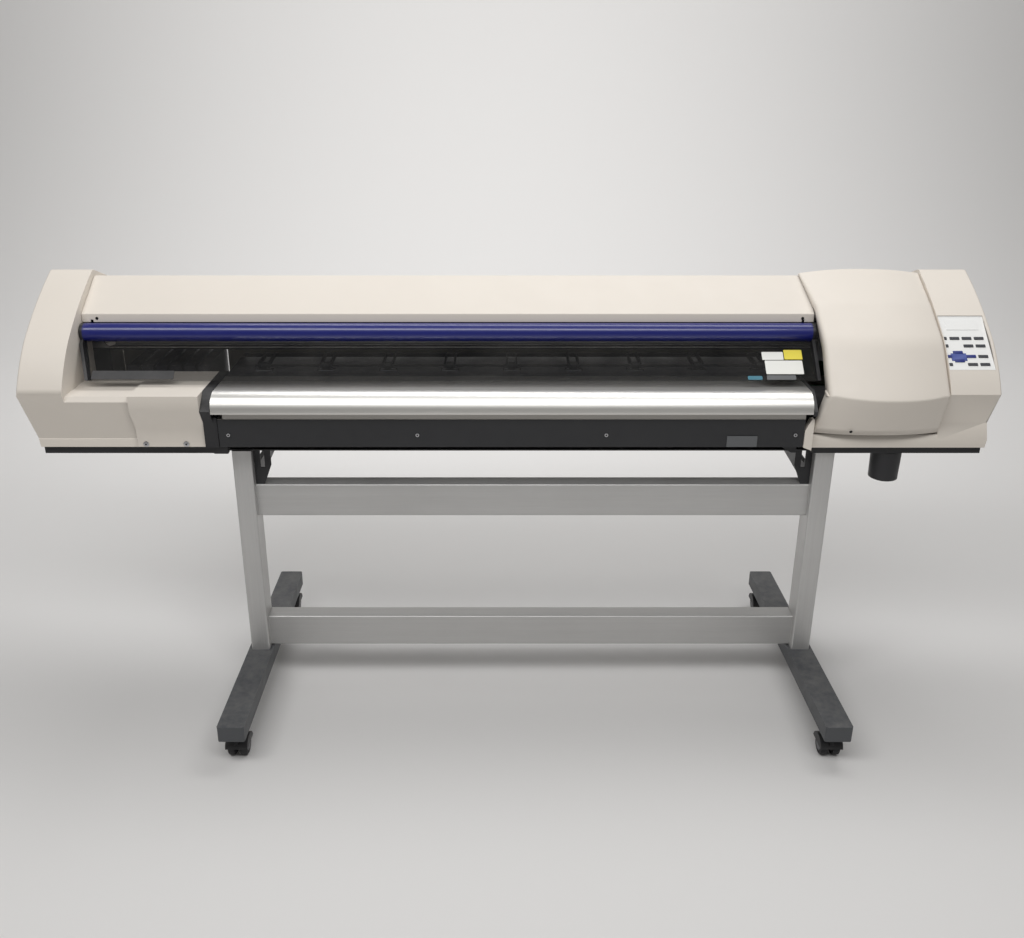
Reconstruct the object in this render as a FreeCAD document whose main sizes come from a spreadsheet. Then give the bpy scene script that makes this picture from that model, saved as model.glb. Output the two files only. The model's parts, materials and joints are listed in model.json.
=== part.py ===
"""Wide-format print-and-cut machine on a two-legged stand, as a parametric FreeCAD document.

Frame: +X to the operator's right, -Y towards the operator, +Z up, millimetres.
Origin: on the floor, under the middle of the machine's width and of its feet.
"""
import FreeCAD, Part
import math
import os
import Sketcher
from FreeCAD import Rotation, Vector

DOC = FreeCAD.newDocument("PrintCutMachine")

DRIVING = {
    # overall
    "overall_width": 2311, "foot_length": 740, "deck_height": 690, "pan_height": 20, "cover_wall": 3,
    "running_gap": 0.5, "frame_wall": 3, "pan_front": -44,
    # stand
    "stand_offset": 62, "leg_spacing": 1440, "leg_width": 48, "leg_depth": 62, "leg_front": -48,
    "tube_wall": 2.5, "foot_width": 64, "foot_height": 41, "foot_base": 77, "beam_depth": 48,
    "beam_height": 87, "beam_front": -30, "upper_beam_base": 505, "lower_beam_base": 122,
    "bracket_width": 42, "bracket_plate": 5,
    # casters
    "caster_reach": 326, "wheel_radius": 25, "wheel_width": 17, "caster_trail": 14, "axle_radius": 4,
    # end cover outline, seen from the side
    "chin_y": -70, "chin_z": 733, "skirt_z": 711, "crease_y": -110, "crease_z": 858, "cheek_y": -30,
    "cheek_z": 966, "ridge_y": 164, "ridge_z": 1096, "ridge_flat": 8, "back_y": 290, "back_drop": 46,
    "crease_radius": 405,
    "cheek_radius": 974, "end_width": 107.5, "left_ledge_z": 849, "left_shoulder_x": -895,
    # right end cover chin
    "right_chin_y": -66, "right_chin_z": 772, "right_lip_y": -81, "right_lip_z": 733,
    "right_skirt_y": -76, "right_shoulder_x": 728, "horn_top": 790, "horn_slope": 28,
    # service cover and working surface
    "shelf_z": 856, "shelf_back": 78, "shelf_front": -117, "nose_y": -116, "nose_z": 818,
    "throat_y": -90, "throat_z": 768, "skirt_y": -86, "service_right": -728,
    "service_foot": 717, "service_gap": 2,
    "apron_left": -703, "slot_left": -712, "apron_right": 718, "apron_back": 38,
    "apron_bend_y": -72, "apron_bend": 42,
    "apron_sheet": 2.5, "platen_back": 205, "platen_thick": 6, "rail_face_y": -95, "rail_base": 720,
    "rail_top": 792, "rail_left": -694, "rail_right": 707, "strip_top": 812, "screw_pitch": 452,
    # top cover
    "brow_y": 61, "brow_z": 1009, "brow_drop": 21, "top_ridge_y": 168, "top_ridge_z": 1080,
    "seam_y": 176,
    # swinging front cover
    "bar_y": 50, "bar_z": 966, "bar_radius": 22.5, "window_sheet": 4, "window_foot_y": -42,
    "window_foot_z": 871, "cap_thick": 8,
    # carriage hood
    "hood_left": 752, "hood_right": 1035.5, "hood_bulge": 32, "hood_ridge_z": 1086, "hood_rise": 14,
    "hood_foot_y": -74, "hood_foot_z": 752, "hood_toe_left": 731, "hood_toe_depth": 12,
    "hood_lap": 19,
    # control panel
    "panel_left": 1038, "panel_width": 108, "panel_length": 151, "panel_thick": 2,
    "panel_low_y": -80, "panel_low_z": 908, "panel_high_y": 27, "panel_high_z": 1008, "key_length": 22.5,
    "key_width": 7.5, "key_rise": 2.5, "base_band": 1.6, "side_lean": 20, "arm_lean": 32,
    # drive and feed
    "rail_y": 150, "rail_z": 925, "rail_depth": 34, "guide_height": 46, "grit_y": 95,
    "grit_radius": 11, "grit_shaft_radius": 6, "pinch_radius": 9, "pinch_axle": 3, "pinch_pivot_y": 168,
    "pinch_pivot_z": 902, "pulley_radius": 14, "pulley_shaft": 4, "belt_thick": 2, "belt_width": 9,
    "belt_z": 925,
    "belt_y": 124, "pulley_x": 1010, "carriage_front": 46, "carriage_low": 888,
    "carriage_high": 937, "carriage_gap": 1, "blade_y": 53, "blade_radius": 9, "carriage_x": 905,
    "carriage_width": 132, "tool_x": 800,
    "tool_width": 56,
    # roll, lever, bottle
    "roll_y": 305, "roll_z": 622, "roll_radius": 15, "flange_radius": 58, "lever_x": 690,
    "lever_y": 258, "lever_z": 985, "bottle_x": 942, "bottle_y": -22, "bottle_radius": 36.5,
    "bottle_height": 84,
}


class Size:
    """A length that carries its value and the spreadsheet expression that gives it."""

    def __init__(self, value, text):
        self.value = float(value)
        self.text = text

    def _join(self, other, sign, swap=False):
        first, second = self, as_size(other)
        if swap:
            first, second = second, first
        results = {
            "+": first.value + second.value, "-": first.value - second.value,
            "*": first.value * second.value, "/": first.value / (second.value or 1.0),
        }
        return Size(results[sign], f"({first.text}{sign}{second.text})")

    def __add__(self, other):
        return self._join(other, "+")

    def __radd__(self, other):
        return self._join(other, "+", swap=True)

    def __sub__(self, other):
        return self._join(other, "-")

    def __rsub__(self, other):
        return self._join(other, "-", swap=True)

    def __mul__(self, other):
        return self._join(other, "*")

    def __rmul__(self, other):
        return self._join(other, "*", swap=True)

    def __truediv__(self, other):
        return self._join(other, "/")

    def __neg__(self):
        return Size(-self.value, f"(0-{self.text})")

    def __abs__(self):
        return self if self.value >= 0 else -self


def as_size(value):
    """Wrap a plain number, and leave a Size as it is."""
    return value if isinstance(value, Size) else Size(value, f"({float(value)})")


class Sheet:
    """The spreadsheet of driving dimensions, each readable as an attribute."""

    def __init__(self, values):
        self.page = DOC.addObject("Spreadsheet::Sheet", "Dimensions")
        for row, (alias, value) in enumerate(values.items(), start=1):
            self.page.set(f"A{row}", alias)
            self.page.set(f"B{row}", str(value))
            self.page.setAlias(f"B{row}", alias)
            setattr(self, alias, Size(value, f"Dimensions.{alias}"))
        DOC.recompute()


D = Sheet(DRIVING)
PARTS = []


def drive(item, path, value):
    """Bind one property of a document object to an expression."""
    item.setExpression(path, as_size(value).text)


def place(item, x=0, y=0, z=0):
    """Bind an object's position to expressions."""
    for axis, value in zip("xyz", (x, y, z)):
        drive(item, f"Placement.Base.{axis}", value)
    return item


def block(name, xs, ys, zs):
    """A rectangular block between pairs of X, Y and Z coordinates."""
    item = DOC.addObject("Part::Box", name)
    for path, (low, high) in zip(("Length", "Width", "Height"), (xs, ys, zs)):
        drive(item, path, as_size(high) - low)
    return place(item, xs[0], ys[0], zs[0])


def rod(name, axis, radius, length, start):
    """A round bar of a radius and a length from its start point along +X, +Y or +Z."""
    item = DOC.addObject("Part::Cylinder", name)
    drive(item, "Radius", radius)
    drive(item, "Height", length)
    turn = {"x": Rotation(Vector(0, 1, 0), 90), "y": Rotation(Vector(1, 0, 0), -90), "z": Rotation()}
    item.Placement = FreeCAD.Placement(Vector(), turn[axis])
    return place(item, *start)


def joined(name, items):
    """Pieces fused into one solid."""
    item = DOC.addObject("Part::MultiFuse", name)
    item.Shapes = items
    return item


def together(name, items):
    """Separate solids kept side by side in one object."""
    item = DOC.addObject("Part::Compound", name)
    item.Links = items
    return item


def without(name, base, tools):
    """A base with one or more tools cut out of it."""
    item = DOC.addObject("Part::Cut", name)
    item.Base = base
    item.Tool = tools[0] if len(tools) == 1 else together(name + "Tools", tools)
    return item


def common(name, items):
    """The volume that all the pieces share."""
    item = DOC.addObject("Part::MultiCommon", name)
    item.Shapes = items
    return item


def tilted(name, item, degrees, pivot):
    """Hold an object in a compound that is turned about an axis along X through a pivot (y, z)."""
    holder = together(name, [item])
    holder.Placement = FreeCAD.Placement(Vector(), Rotation(Vector(1, 0, 0), degrees),
                                         Vector(0, as_size(pivot[0]).value, as_size(pivot[1]).value))
    return holder


def part(label, item):
    """Register a finished sub-part under the name of its file."""
    item.Label = label
    PARTS.append(item)
    return item


def pin_point(sketch, index, corner, where, point):
    """Tie one sketch point to spreadsheet expressions, measured from the sketch origin."""
    for kind, axis_id, value, tag in (("DistanceX", -2, point[0], "u"), ("DistanceY", -1, point[1], "v")):
        value = as_size(value)
        if abs(value.value) < 1e-9:
            sketch.addConstraint(Sketcher.Constraint("PointOnObject", index, where, axis_id))
            continue
        ends = (-1, 1, index, where) if value.value > 0 else (index, where, -1, 1)
        name = f"{tag}{corner}"
        number = sketch.addConstraint(Sketcher.Constraint(kind, *ends, abs(value.value)))
        sketch.renameConstraint(number, name)
        text = value.text if value.value > 0 else f"(0-{value.text})"
        sketch.setExpression(f"Constraints.{name}", text)


def bulge(start, end, radius):
    """The arc from start to end that bows to the left of the way, or right for a negative radius.

    A sketch keeps arcs anticlockwise, so one that bows to the left runs from its far end back.
    Returns the arc and the number of its end that lies at the start of the way.
    """
    chord = end - start
    side = Vector(-chord.y, chord.x, 0).normalize() * math.copysign(1, radius)
    centre = (start + end) / 2 - side * math.sqrt(radius ** 2 - (chord.Length / 2) ** 2)
    first, last = (end, start) if radius > 0 else (start, end)
    angles = [math.atan2(point.y - centre.y, point.x - centre.x) for point in (first, last)]
    circle = Part.Circle(centre, Vector(0, 0, 1), abs(radius))
    return Part.ArcOfCircle(circle, angles[0], angles[1]), 2 if radius > 0 else 1


def outline_sketch(body, plane, outline):
    """A closed, fully constrained outline on one of a body's origin planes.

    outline is a list of (u, v) corners; a corner with a third entry starts an arc of that radius.
    """
    sketch = body.newObject("Sketcher::SketchObject", body.Name + "Outline")
    roles = {feature.Role: feature for feature in body.Origin.OriginFeatures}
    sketch.AttachmentSupport = [(roles[plane], "")]
    sketch.MapMode = "FlatFace"
    points = [Vector(as_size(c[0]).value, as_size(c[1]).value, 0) for c in outline]
    count = len(outline)
    starts = []
    for index, corner in enumerate(outline):
        start, end = points[index], points[(index + 1) % count]
        if len(corner) == 3:
            arc, own_start = bulge(start, end, corner[2].value)
            sketch.addGeometry(arc, False)
            starts.append(own_start)
            size = abs(corner[2])
            number = sketch.addConstraint(Sketcher.Constraint("Radius", index, size.value))
            sketch.renameConstraint(number, f"r{index}")
            sketch.setExpression(f"Constraints.r{index}", size.text)
        else:
            sketch.addGeometry(Part.LineSegment(start, end), False)
            starts.append(1)
    for index, corner in enumerate(outline):
        pin_point(sketch, index, index, starts[index], corner)
        before = (index - 1) % count
        sketch.addConstraint(Sketcher.Constraint("Coincident", before, 3 - starts[before],
                                                 index, starts[index]))
    return sketch


def prism(name, outline, low, high, plane="YZ_Plane"):
    """A PartDesign body: an outline padded from one coordinate to another along its plane's normal.

    On YZ_Plane the outline is (y, z) and the pad runs along +X. On XY_Plane it is (x, y) and the
    pad runs along +Z. On XZ_Plane it is (x, z) and the pad runs along +Y.
    """
    body = DOC.addObject("PartDesign::Body", name)
    sketch = outline_sketch(body, plane, outline)
    pad = body.newObject("PartDesign::Pad", name + "Pad")
    pad.Profile = sketch
    pad.Reversed = plane == "XZ_Plane"
    drive(pad, "Length", as_size(high) - low)
    body.Tip = pad
    spot = {"YZ_Plane": (low, 0, 0), "XY_Plane": (0, 0, low), "XZ_Plane": (0, low, 0)}[plane]
    return place(body, *spot)


def pocket(body, name, outline, depth, plane="XY_Plane", reverse=False):
    """Cut an outline into a body, from one of its origin planes."""
    DOC.recompute()
    before = body.Shape.Volume
    sketch = outline_sketch(body, plane, outline)
    cut = body.newObject("PartDesign::Pocket", name)
    cut.Profile = sketch
    cut.Midplane = False
    cut.Reversed = reverse
    drive(cut, "Length", depth)
    body.Tip = cut
    DOC.recompute()
    if body.Shape.Volume >= before:
        raise ValueError(f"{name} removed nothing")
    return body


def softened(body, radius, chosen):
    """Round the edges of a PartDesign body that a test picks."""
    DOC.recompute()
    base = body.Tip
    edges = [f"Edge{number}" for number, edge in enumerate(base.Shape.Edges, start=1) if chosen(edge)]
    fillet = body.newObject("PartDesign::Fillet", body.Name + "Fillet")
    fillet.Base = (base, edges)
    drive(fillet, "Radius", radius)
    body.Tip = fillet
    return body


def runs_along(axis):
    """A test for straight edges along an axis."""
    def check(edge):
        way = edge.Vertexes[-1].Point - edge.Vertexes[0].Point
        return way.Length > 1e-6 and abs(abs(way.normalize().dot(axis)) - 1) < 1e-6
    return check


def rectangle(low_u, high_u, low_v, high_v):
    """The four corners of a rectangle."""
    return [(low_u, low_v), (high_u, low_v), (high_u, high_v), (low_u, high_v)]


def hollow_bar(name, outer, inner, low, high, plane):
    """A tube: an outer rectangle padded, with an inner rectangle cut right through."""
    body = prism(name, rectangle(*outer), low, high, plane)
    body = softened(body, D.tube_wall * 1.6, runs_along(PLANE_NORMAL[plane]))
    return pocket(body, name + "Bore", rectangle(*inner), as_size(high) - low, plane,
                  reverse=plane != "XZ_Plane")


PLANE_NORMAL = {"YZ_Plane": Vector(1, 0, 0), "XY_Plane": Vector(0, 0, 1), "XZ_Plane": Vector(0, 1, 0)}
LEG_CENTRES = {
    "left": D.stand_offset - D.leg_spacing / 2,
    "right": D.stand_offset + D.leg_spacing / 2,
}
FOOT_TOP = D.foot_base + D.foot_height
PAN_TOP = D.deck_height + D.pan_height
HALF = D.overall_width / 2
LEFT_WALL = D.end_width - HALF
RIGHT_WALL = D.hood_right + D.running_gap


def make_legs_and_feet():
    """Two tubular legs on two closed channel feet."""
    for side, centre in LEG_CENTRES.items():
        half = D.leg_width / 2
        back = D.leg_front + D.leg_depth
        wall = D.tube_wall
        leg = hollow_bar(f"{side}Leg", (centre - half, centre + half, D.leg_front, back),
                         (centre - half + wall, centre + half - wall, D.leg_front + wall, back - wall),
                         FOOT_TOP, D.deck_height, "XY_Plane")
        part(f"{side}_leg", leg)
        half = D.foot_width / 2
        reach = D.foot_length / 2
        foot = prism(f"{side}Foot", rectangle(centre - half, centre + half, -reach, reach),
                     D.foot_base, FOOT_TOP, "XY_Plane")
        foot = softened(foot, D.tube_wall * 2, runs_along(Vector(0, 0, 1)))
        hollow = block(f"{side}FootHollow", (centre - half + wall, centre + half - wall),
                       (wall - reach, reach - wall), (D.foot_base + wall, FOOT_TOP - wall))
        part(f"{side}_foot", without(f"{side}FootShell", foot, [hollow]))


def make_crossbeams():
    """Two tubes that tie the legs together."""
    low = LEG_CENTRES["left"] + D.leg_width / 2
    high = LEG_CENTRES["right"] - D.leg_width / 2
    wall = D.tube_wall
    back = D.beam_front + D.beam_depth
    for name, base in (("upper", D.upper_beam_base), ("lower", D.lower_beam_base)):
        top = base + D.beam_height
        beam = hollow_bar(f"{name}Beam", (D.beam_front, back, base, top),
                          (D.beam_front + wall, back - wall, base + wall, top - wall),
                          low, high, "YZ_Plane")
        part(f"{name}_crossbeam", beam)


def make_stand_brackets():
    """Slotted gussets over the upper crossbeam, and the two arms that carry the media roll."""
    pieces = []
    top_of_beam = D.upper_beam_base + D.beam_height
    for side, centre in LEG_CENTRES.items():
        inward = 1 if side == "left" else -1
        near = centre + inward * D.leg_width / 2
        far = near + inward * D.bracket_width
        outline = [(near, top_of_beam), (near, D.deck_height), (far, D.deck_height),
                   (far, top_of_beam + 52), (near + inward * 22, top_of_beam)]
        gusset = prism(f"{side}Gusset", outline, D.beam_front + 4, D.beam_front + 4 + D.bracket_plate,
                       "XZ_Plane")
        slot_ends = sorted([near + inward * 16, near + inward * 26], key=lambda size: size.value)
        slot = block(f"{side}GussetSlot", slot_ends, (D.beam_front - 5, D.beam_front + 20),
                     (top_of_beam + 45, D.deck_height - 6))
        pieces.append(without(f"{side}GussetCut", gusset, [slot]))
        pieces.append(make_roll_arm(side, centre))
    part("stand_brackets", together("StandBrackets", pieces))


def make_roll_arm(side, centre):
    """One arm from the back of a leg to an open cradle for the roll shaft."""
    inward = 1 if side == "left" else -1
    leg_back = D.leg_front + D.leg_depth
    seat = D.roll_radius + 0.4
    outline = [
        (leg_back, D.roll_z - 60), (leg_back, D.roll_z - 5), (D.roll_y - 46, D.roll_z - 5),
        (D.roll_y - 30, D.roll_z + 6), (D.roll_y + 30, D.roll_z + 6), (D.roll_y + 30, D.roll_z - 34),
        (D.roll_y - 60, D.roll_z - 40),
    ]
    ends = sorted([centre + inward * 4, centre + inward * 16], key=lambda size: size.value)
    arm = prism(f"{side}RollArm", outline, ends[0], ends[1])
    bore = rod(f"{side}ArmSeat", "x", seat, 60, (ends[0] - 20, D.roll_y, D.roll_z))
    mouth = block(f"{side}ArmMouth", (ends[0] - 20, ends[0] + 40), (D.roll_y - seat, D.roll_y + seat),
                  (D.roll_z, D.roll_z + 40))
    return without(f"{side}ArmCut", arm, [joined(f"{side}ArmNotch", [bore, mouth])])


def make_media_roll_shaft():
    """The roll shaft with its two flanged media holders."""
    reach = D.leg_spacing - 16
    start = D.stand_offset - reach / 2
    pieces = [rod("RollShaft", "x", D.roll_radius, reach, (start, D.roll_y, D.roll_z))]
    for number, offset in enumerate((-460, 460)):
        middle = D.stand_offset + offset
        pieces.append(rod(f"Flange{number}", "x", D.flange_radius, 8, (middle, D.roll_y, D.roll_z)))
        inward = -60 if offset > 0 else 8
        pieces.append(rod(f"FlangeHub{number}", "x", D.flange_radius - 22, 60,
                          (middle + inward, D.roll_y, D.roll_z)))
    part("media_roll_shaft", joined("MediaRollShaft", pieces))


def make_casters():
    """Four twin-wheel swivel casters: a hooded fork and its pair of wheels each."""
    for row, along in (("front", -D.caster_reach), ("rear", D.caster_reach)):
        for side, centre in LEG_CENTRES.items():
            name = f"caster_{row}_{side}"
            axle_y = along + D.caster_trail
            axle_z = D.wheel_radius
            tag = f"{row}{side}"
            half_web = 5
            plate = rod(tag + "Plate", "z", 24, 5, (centre, along, D.foot_base - 5))
            stem = rod(tag + "Stem", "z", 9, 22, (centre, along, D.foot_base - 27))
            web = prism(tag + "Web", [
                (along - 9, D.foot_base - 24), (along + 9, D.foot_base - 24),
                (axle_y + 20, axle_z + 18), (axle_y + 12, axle_z - 8), (axle_y - 12, axle_z - 8),
                (along - 14, axle_z + 18),
            ], centre - half_web, centre + half_web)
            hood_outer = rod(tag + "HoodOuter", "x", D.wheel_radius + 5, 54, (centre - 27, axle_y, axle_z))
            hood_inner = rod(tag + "HoodInner", "x", D.wheel_radius + 2, 49, (centre - 24.5, axle_y, axle_z))
            upper = block(tag + "HoodHalf", (centre - 30, centre + 30), (axle_y - 40, axle_y + 40),
                          (axle_z + 6, axle_z + 40))
            shell = common(tag + "HoodTop", [without(tag + "HoodShell", hood_outer, [hood_inner]), upper])
            axle_hole = rod(tag + "AxleHole", "x", D.axle_radius + 0.05, 80, (centre - 40, axle_y, axle_z))
            fork = without(tag + "Fork", joined(tag + "ForkBody", [plate, stem, web, shell]), [axle_hole])
            part(name + "_fork", fork)
            wheels = [
                rod(tag + "Axle", "x", D.axle_radius, 46, (centre - 23, axle_y, axle_z)),
                rod(tag + "WheelA", "x", D.wheel_radius, D.wheel_width, (centre - 23, axle_y, axle_z)),
                rod(tag + "WheelB", "x", D.wheel_radius, D.wheel_width, (centre + 6, axle_y, axle_z)),
            ]
            part(name + "_wheels", joined(tag + "Wheels", wheels))


def make_chassis():
    """The base pan, the two upright side frames and the beam that carries the guide rail."""
    left, right = 22 - HALF, HALF - 1
    pan = block("BasePan", (left, right), (-60, D.back_y - 6), (D.deck_height, PAN_TOP))
    relief = block("PanRelief", (left + 4, right - 4), (-56, D.back_y - 10), (D.deck_height + 3, PAN_TOP + 1))
    notch = block("PanNotch", (D.apron_left, D.right_shoulder_x + 16), (-61, D.pan_front),
                  (D.deck_height - 1, PAN_TOP + 1))
    tray = without("PanTray", pan, [relief, notch])
    frames = []
    for side, x in (("Left", LEFT_WALL - 34), ("Right", RIGHT_WALL + 30)):
        frame = block(f"{side}Frame", (x, x + 4), (30, D.back_y - 12), (D.deck_height + 2, D.rail_z + 45))
        frames.append(frame)
    rib_y = D.rail_y + D.rail_depth / 2 + 3
    wall = D.frame_wall
    low, high = LEFT_WALL - 32, RIGHT_WALL + 32
    beam = box_tube("RearBeam", (low, high), (rib_y, rib_y + 30), (D.rail_z - 38, D.rail_z + 38), wall)
    bed = box_tube("PlatenBed", (D.apron_left + 10, D.apron_right - 10), (118, 190),
                   (D.deck_height + 2, D.shelf_z - 50), wall)
    part("chassis", joined("Chassis", [tray, *frames, beam, bed]))


def box_tube(name, xs, ys, zs, wall):
    """A rectangular tube along X, open at both ends."""
    bore = block(name + "Bore", (xs[0] - 1, xs[1] + 1), (ys[0] + wall, ys[1] - wall),
                 (zs[0] + wall, zs[1] - wall))
    return without(name, block(name + "Outer", xs, ys, zs), [bore])


def end_outline(inset, left):
    """The side outline of an end cover, drawn in by an inset for its inside."""
    foot = D.skirt_z - inset * 3
    front = D.chin_y if left else D.right_skirt_y
    if left:
        chin = [(front - D.base_band + inset, foot), (front - D.base_band + inset, D.chin_z - 2),
                (front + inset, D.chin_z)]
    else:
        chin = [(front + inset, foot), (D.right_lip_y + inset, D.right_lip_z),
                (D.right_chin_y + inset, D.right_chin_z)]
    return chin + [
        (D.crease_y + inset, D.crease_z, D.crease_radius),
        (D.cheek_y + inset, D.cheek_z - inset, D.cheek_radius),
        (D.ridge_y + inset * 0.4, D.ridge_z - inset),
        (D.ridge_y + D.ridge_flat, D.ridge_z - inset),
        (D.back_y - inset, D.ridge_z - D.back_drop - inset),
        (D.back_y - inset, foot),
    ]


def low_front(inset, left, top):
    """The outline of the low front section beside an end cover, under a flat ledge."""
    foot = D.skirt_z - inset * 3
    chin = end_outline(inset, left)[:3]
    lean = (D.chin_y - D.crease_y) / (D.crease_z - D.chin_z)
    edge = D.chin_y - lean * (top - 12 - D.chin_z)
    return chin + [(edge + inset, top - 12 - inset), (edge + 8 + inset, top - inset),
                   (D.shelf_back - inset, top - inset), (D.shelf_back - inset, foot)]


def side_lean(name, inset):
    """The wedge that the left end cover's outer side loses below its crease."""
    drop = D.crease_z - D.skirt_z
    low = D.skirt_z - 14
    edge = inset - HALF
    foot = edge + D.side_lean * (drop + 14) / drop
    return prism(name, [(-HALF - 5, D.crease_z), (edge, D.crease_z), (foot, low),
                        (-HALF - 5, low)], -200, D.back_y + 10, "XZ_Plane")


def make_end_covers():
    """The two tall end covers, each with its low front section, as thin shells."""
    wall = D.cover_wall
    window = ((D.rail_y - 50, D.back_y - 12), (D.skirt_z + 10, D.rail_z + 62))
    left_full = without("LeftEndLeaning", prism("LeftEndOuter", end_outline(0, True), -HALF, LEFT_WALL),
                        [side_lean("LeftOuterLean", 0)])
    left_void = without("LeftVoidLeaning", prism("LeftEndInner", end_outline(wall, True), wall - HALF,
                                                 LEFT_WALL - wall), [side_lean("LeftInnerLean", wall)])
    left_low = prism("LeftLowOuter", low_front(0, True, D.left_ledge_z), LEFT_WALL - 1, D.left_shoulder_x)
    left_low_void = prism("LeftLowInner", low_front(wall, True, D.left_ledge_z), LEFT_WALL - 5,
                          D.left_shoulder_x + 1)
    left_hole = block("LeftEndHole", (LEFT_WALL - 10, LEFT_WALL + 10), *window)
    shell = without("LeftEndShell", joined("LeftEndSolid", [left_full, left_low]),
                    [left_void, left_low_void, left_hole])
    part("left_end_cover", shell)

    right_full = prism("RightEndOuter", end_outline(0, False), RIGHT_WALL, HALF)
    right_void = prism("RightEndInner", end_outline(wall, False), RIGHT_WALL + wall, HALF - wall)
    low_outline = [
        (D.right_skirt_y, D.skirt_z), (D.right_lip_y, D.right_lip_z), (D.right_lip_y + 6, D.right_lip_z + 12),
        (D.right_chin_y + 14, D.right_lip_z + 14), (D.right_chin_y + 14, D.skirt_z),
    ]
    right_low = prism("RightLowOuter", low_outline, D.right_shoulder_x, RIGHT_WALL + 1)
    horn = prism("RightHorn", [
        (D.rail_right + 2, D.skirt_z + 8), (D.right_shoulder_x + 1, D.skirt_z),
        (D.right_shoulder_x + 1, D.horn_top),
        (D.right_shoulder_x - 6, D.horn_top), (D.rail_right + 2, D.horn_top - D.horn_slope),
    ], D.rail_face_y - 1, D.rail_face_y + 18, "XZ_Plane")
    right_hole = block("RightEndHole", (RIGHT_WALL - 10, RIGHT_WALL + 10), *window)
    recess = on_panel("PanelRecess", (D.panel_left - 0.5, D.panel_left + D.panel_width + 0.5),
                      (1.5, D.panel_length + 0.5), (-12, 30))
    shell = without("RightEndShell", joined("RightEndSolid", [right_full, right_low, horn]),
                    [right_void, right_hole, recess])
    part("right_end_cover", shell)


def make_service_cover():
    """The bent cover to the left of the working surface, with its right side closed."""
    path = [(D.shelf_back, D.shelf_z), (D.shelf_front, D.shelf_z), (D.nose_y, D.nose_z),
            (D.throat_y, D.throat_z), (D.skirt_y, D.service_foot)]
    inside = [(D.skirt_y + 3, D.service_foot), (D.throat_y + 3, D.throat_z), (D.nose_y + 3, D.nose_z),
              (D.shelf_front + 3, D.shelf_z - 3), (D.shelf_back, D.shelf_z - 3)]
    sheet = prism("ServiceSheet", path + inside, D.left_shoulder_x + D.service_gap, D.service_right)
    cheek = prism("ServiceCheek", path + [(D.shelf_back - 20, D.service_foot)], D.service_right - 3,
                  D.service_right)
    part("left_service_cover", joined("ServiceCover", [sheet, cheek]))


def make_top_cover():
    """The fixed sloping top, with its short brow above the swinging cover."""
    wall = D.cover_wall
    drop = D.brow_z - D.brow_drop
    outline = [
        (D.brow_y, drop), (D.brow_y, D.brow_z), (D.top_ridge_y, D.top_ridge_z), (D.seam_y, D.top_ridge_z),
        (D.seam_y, D.top_ridge_z - wall), (D.top_ridge_y + 1, D.top_ridge_z - wall),
        (D.brow_y + wall, D.brow_z - wall + 1), (D.brow_y + wall, drop),
    ]
    cover = prism("TopCover", outline, LEFT_WALL + D.running_gap, D.hood_left - D.running_gap)
    notches = [
        block(f"HingeNotch{number}", (x, x + 6), (D.brow_y - 5, D.brow_y + 10), (drop - 1, drop + 6))
        for number, x in enumerate((LEFT_WALL + 22, D.hood_left - 30))
    ]
    part("top_cover", without("TopCoverCut", cover, notches))


def make_rear_cover():
    """The back shell: a strip of the top, the back wall, and the media entry slot."""
    wall = D.cover_wall
    low, high = LEFT_WALL + D.running_gap, RIGHT_WALL - D.running_gap
    back = D.back_y
    outline = [
        (D.seam_y + 0.6, D.top_ridge_z), (back, D.top_ridge_z - D.back_drop), (back, PAN_TOP + 1),
        (back - wall, PAN_TOP + 1), (back - wall, D.top_ridge_z - D.back_drop - wall * 0.8),
        (D.seam_y + 0.6, D.top_ridge_z - wall),
    ]
    shell = prism("RearShell", outline, low, high)
    slot = block("MediaSlot", (D.slot_left, D.apron_right), (back - 10, back + 5),
                 (D.shelf_z, D.shelf_z + 34))
    cartridge_slots = block("CartridgeOpening", (-980, -762), (back - 10, back + 5),
                            (PAN_TOP + 24, D.shelf_z + 6))
    lever_slot = block("LeverSlot", (D.lever_x - 8, D.lever_x + 8), (back - 10, back + 5),
                       (D.lever_z - 26, D.lever_z + 26))
    inlet = block("InletOpening", (903, 937), (back - 10, back + 5), (736, 764))
    part("rear_cover", without("RearCover", shell, [slot, cartridge_slots, lever_slot, inlet]))


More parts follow.
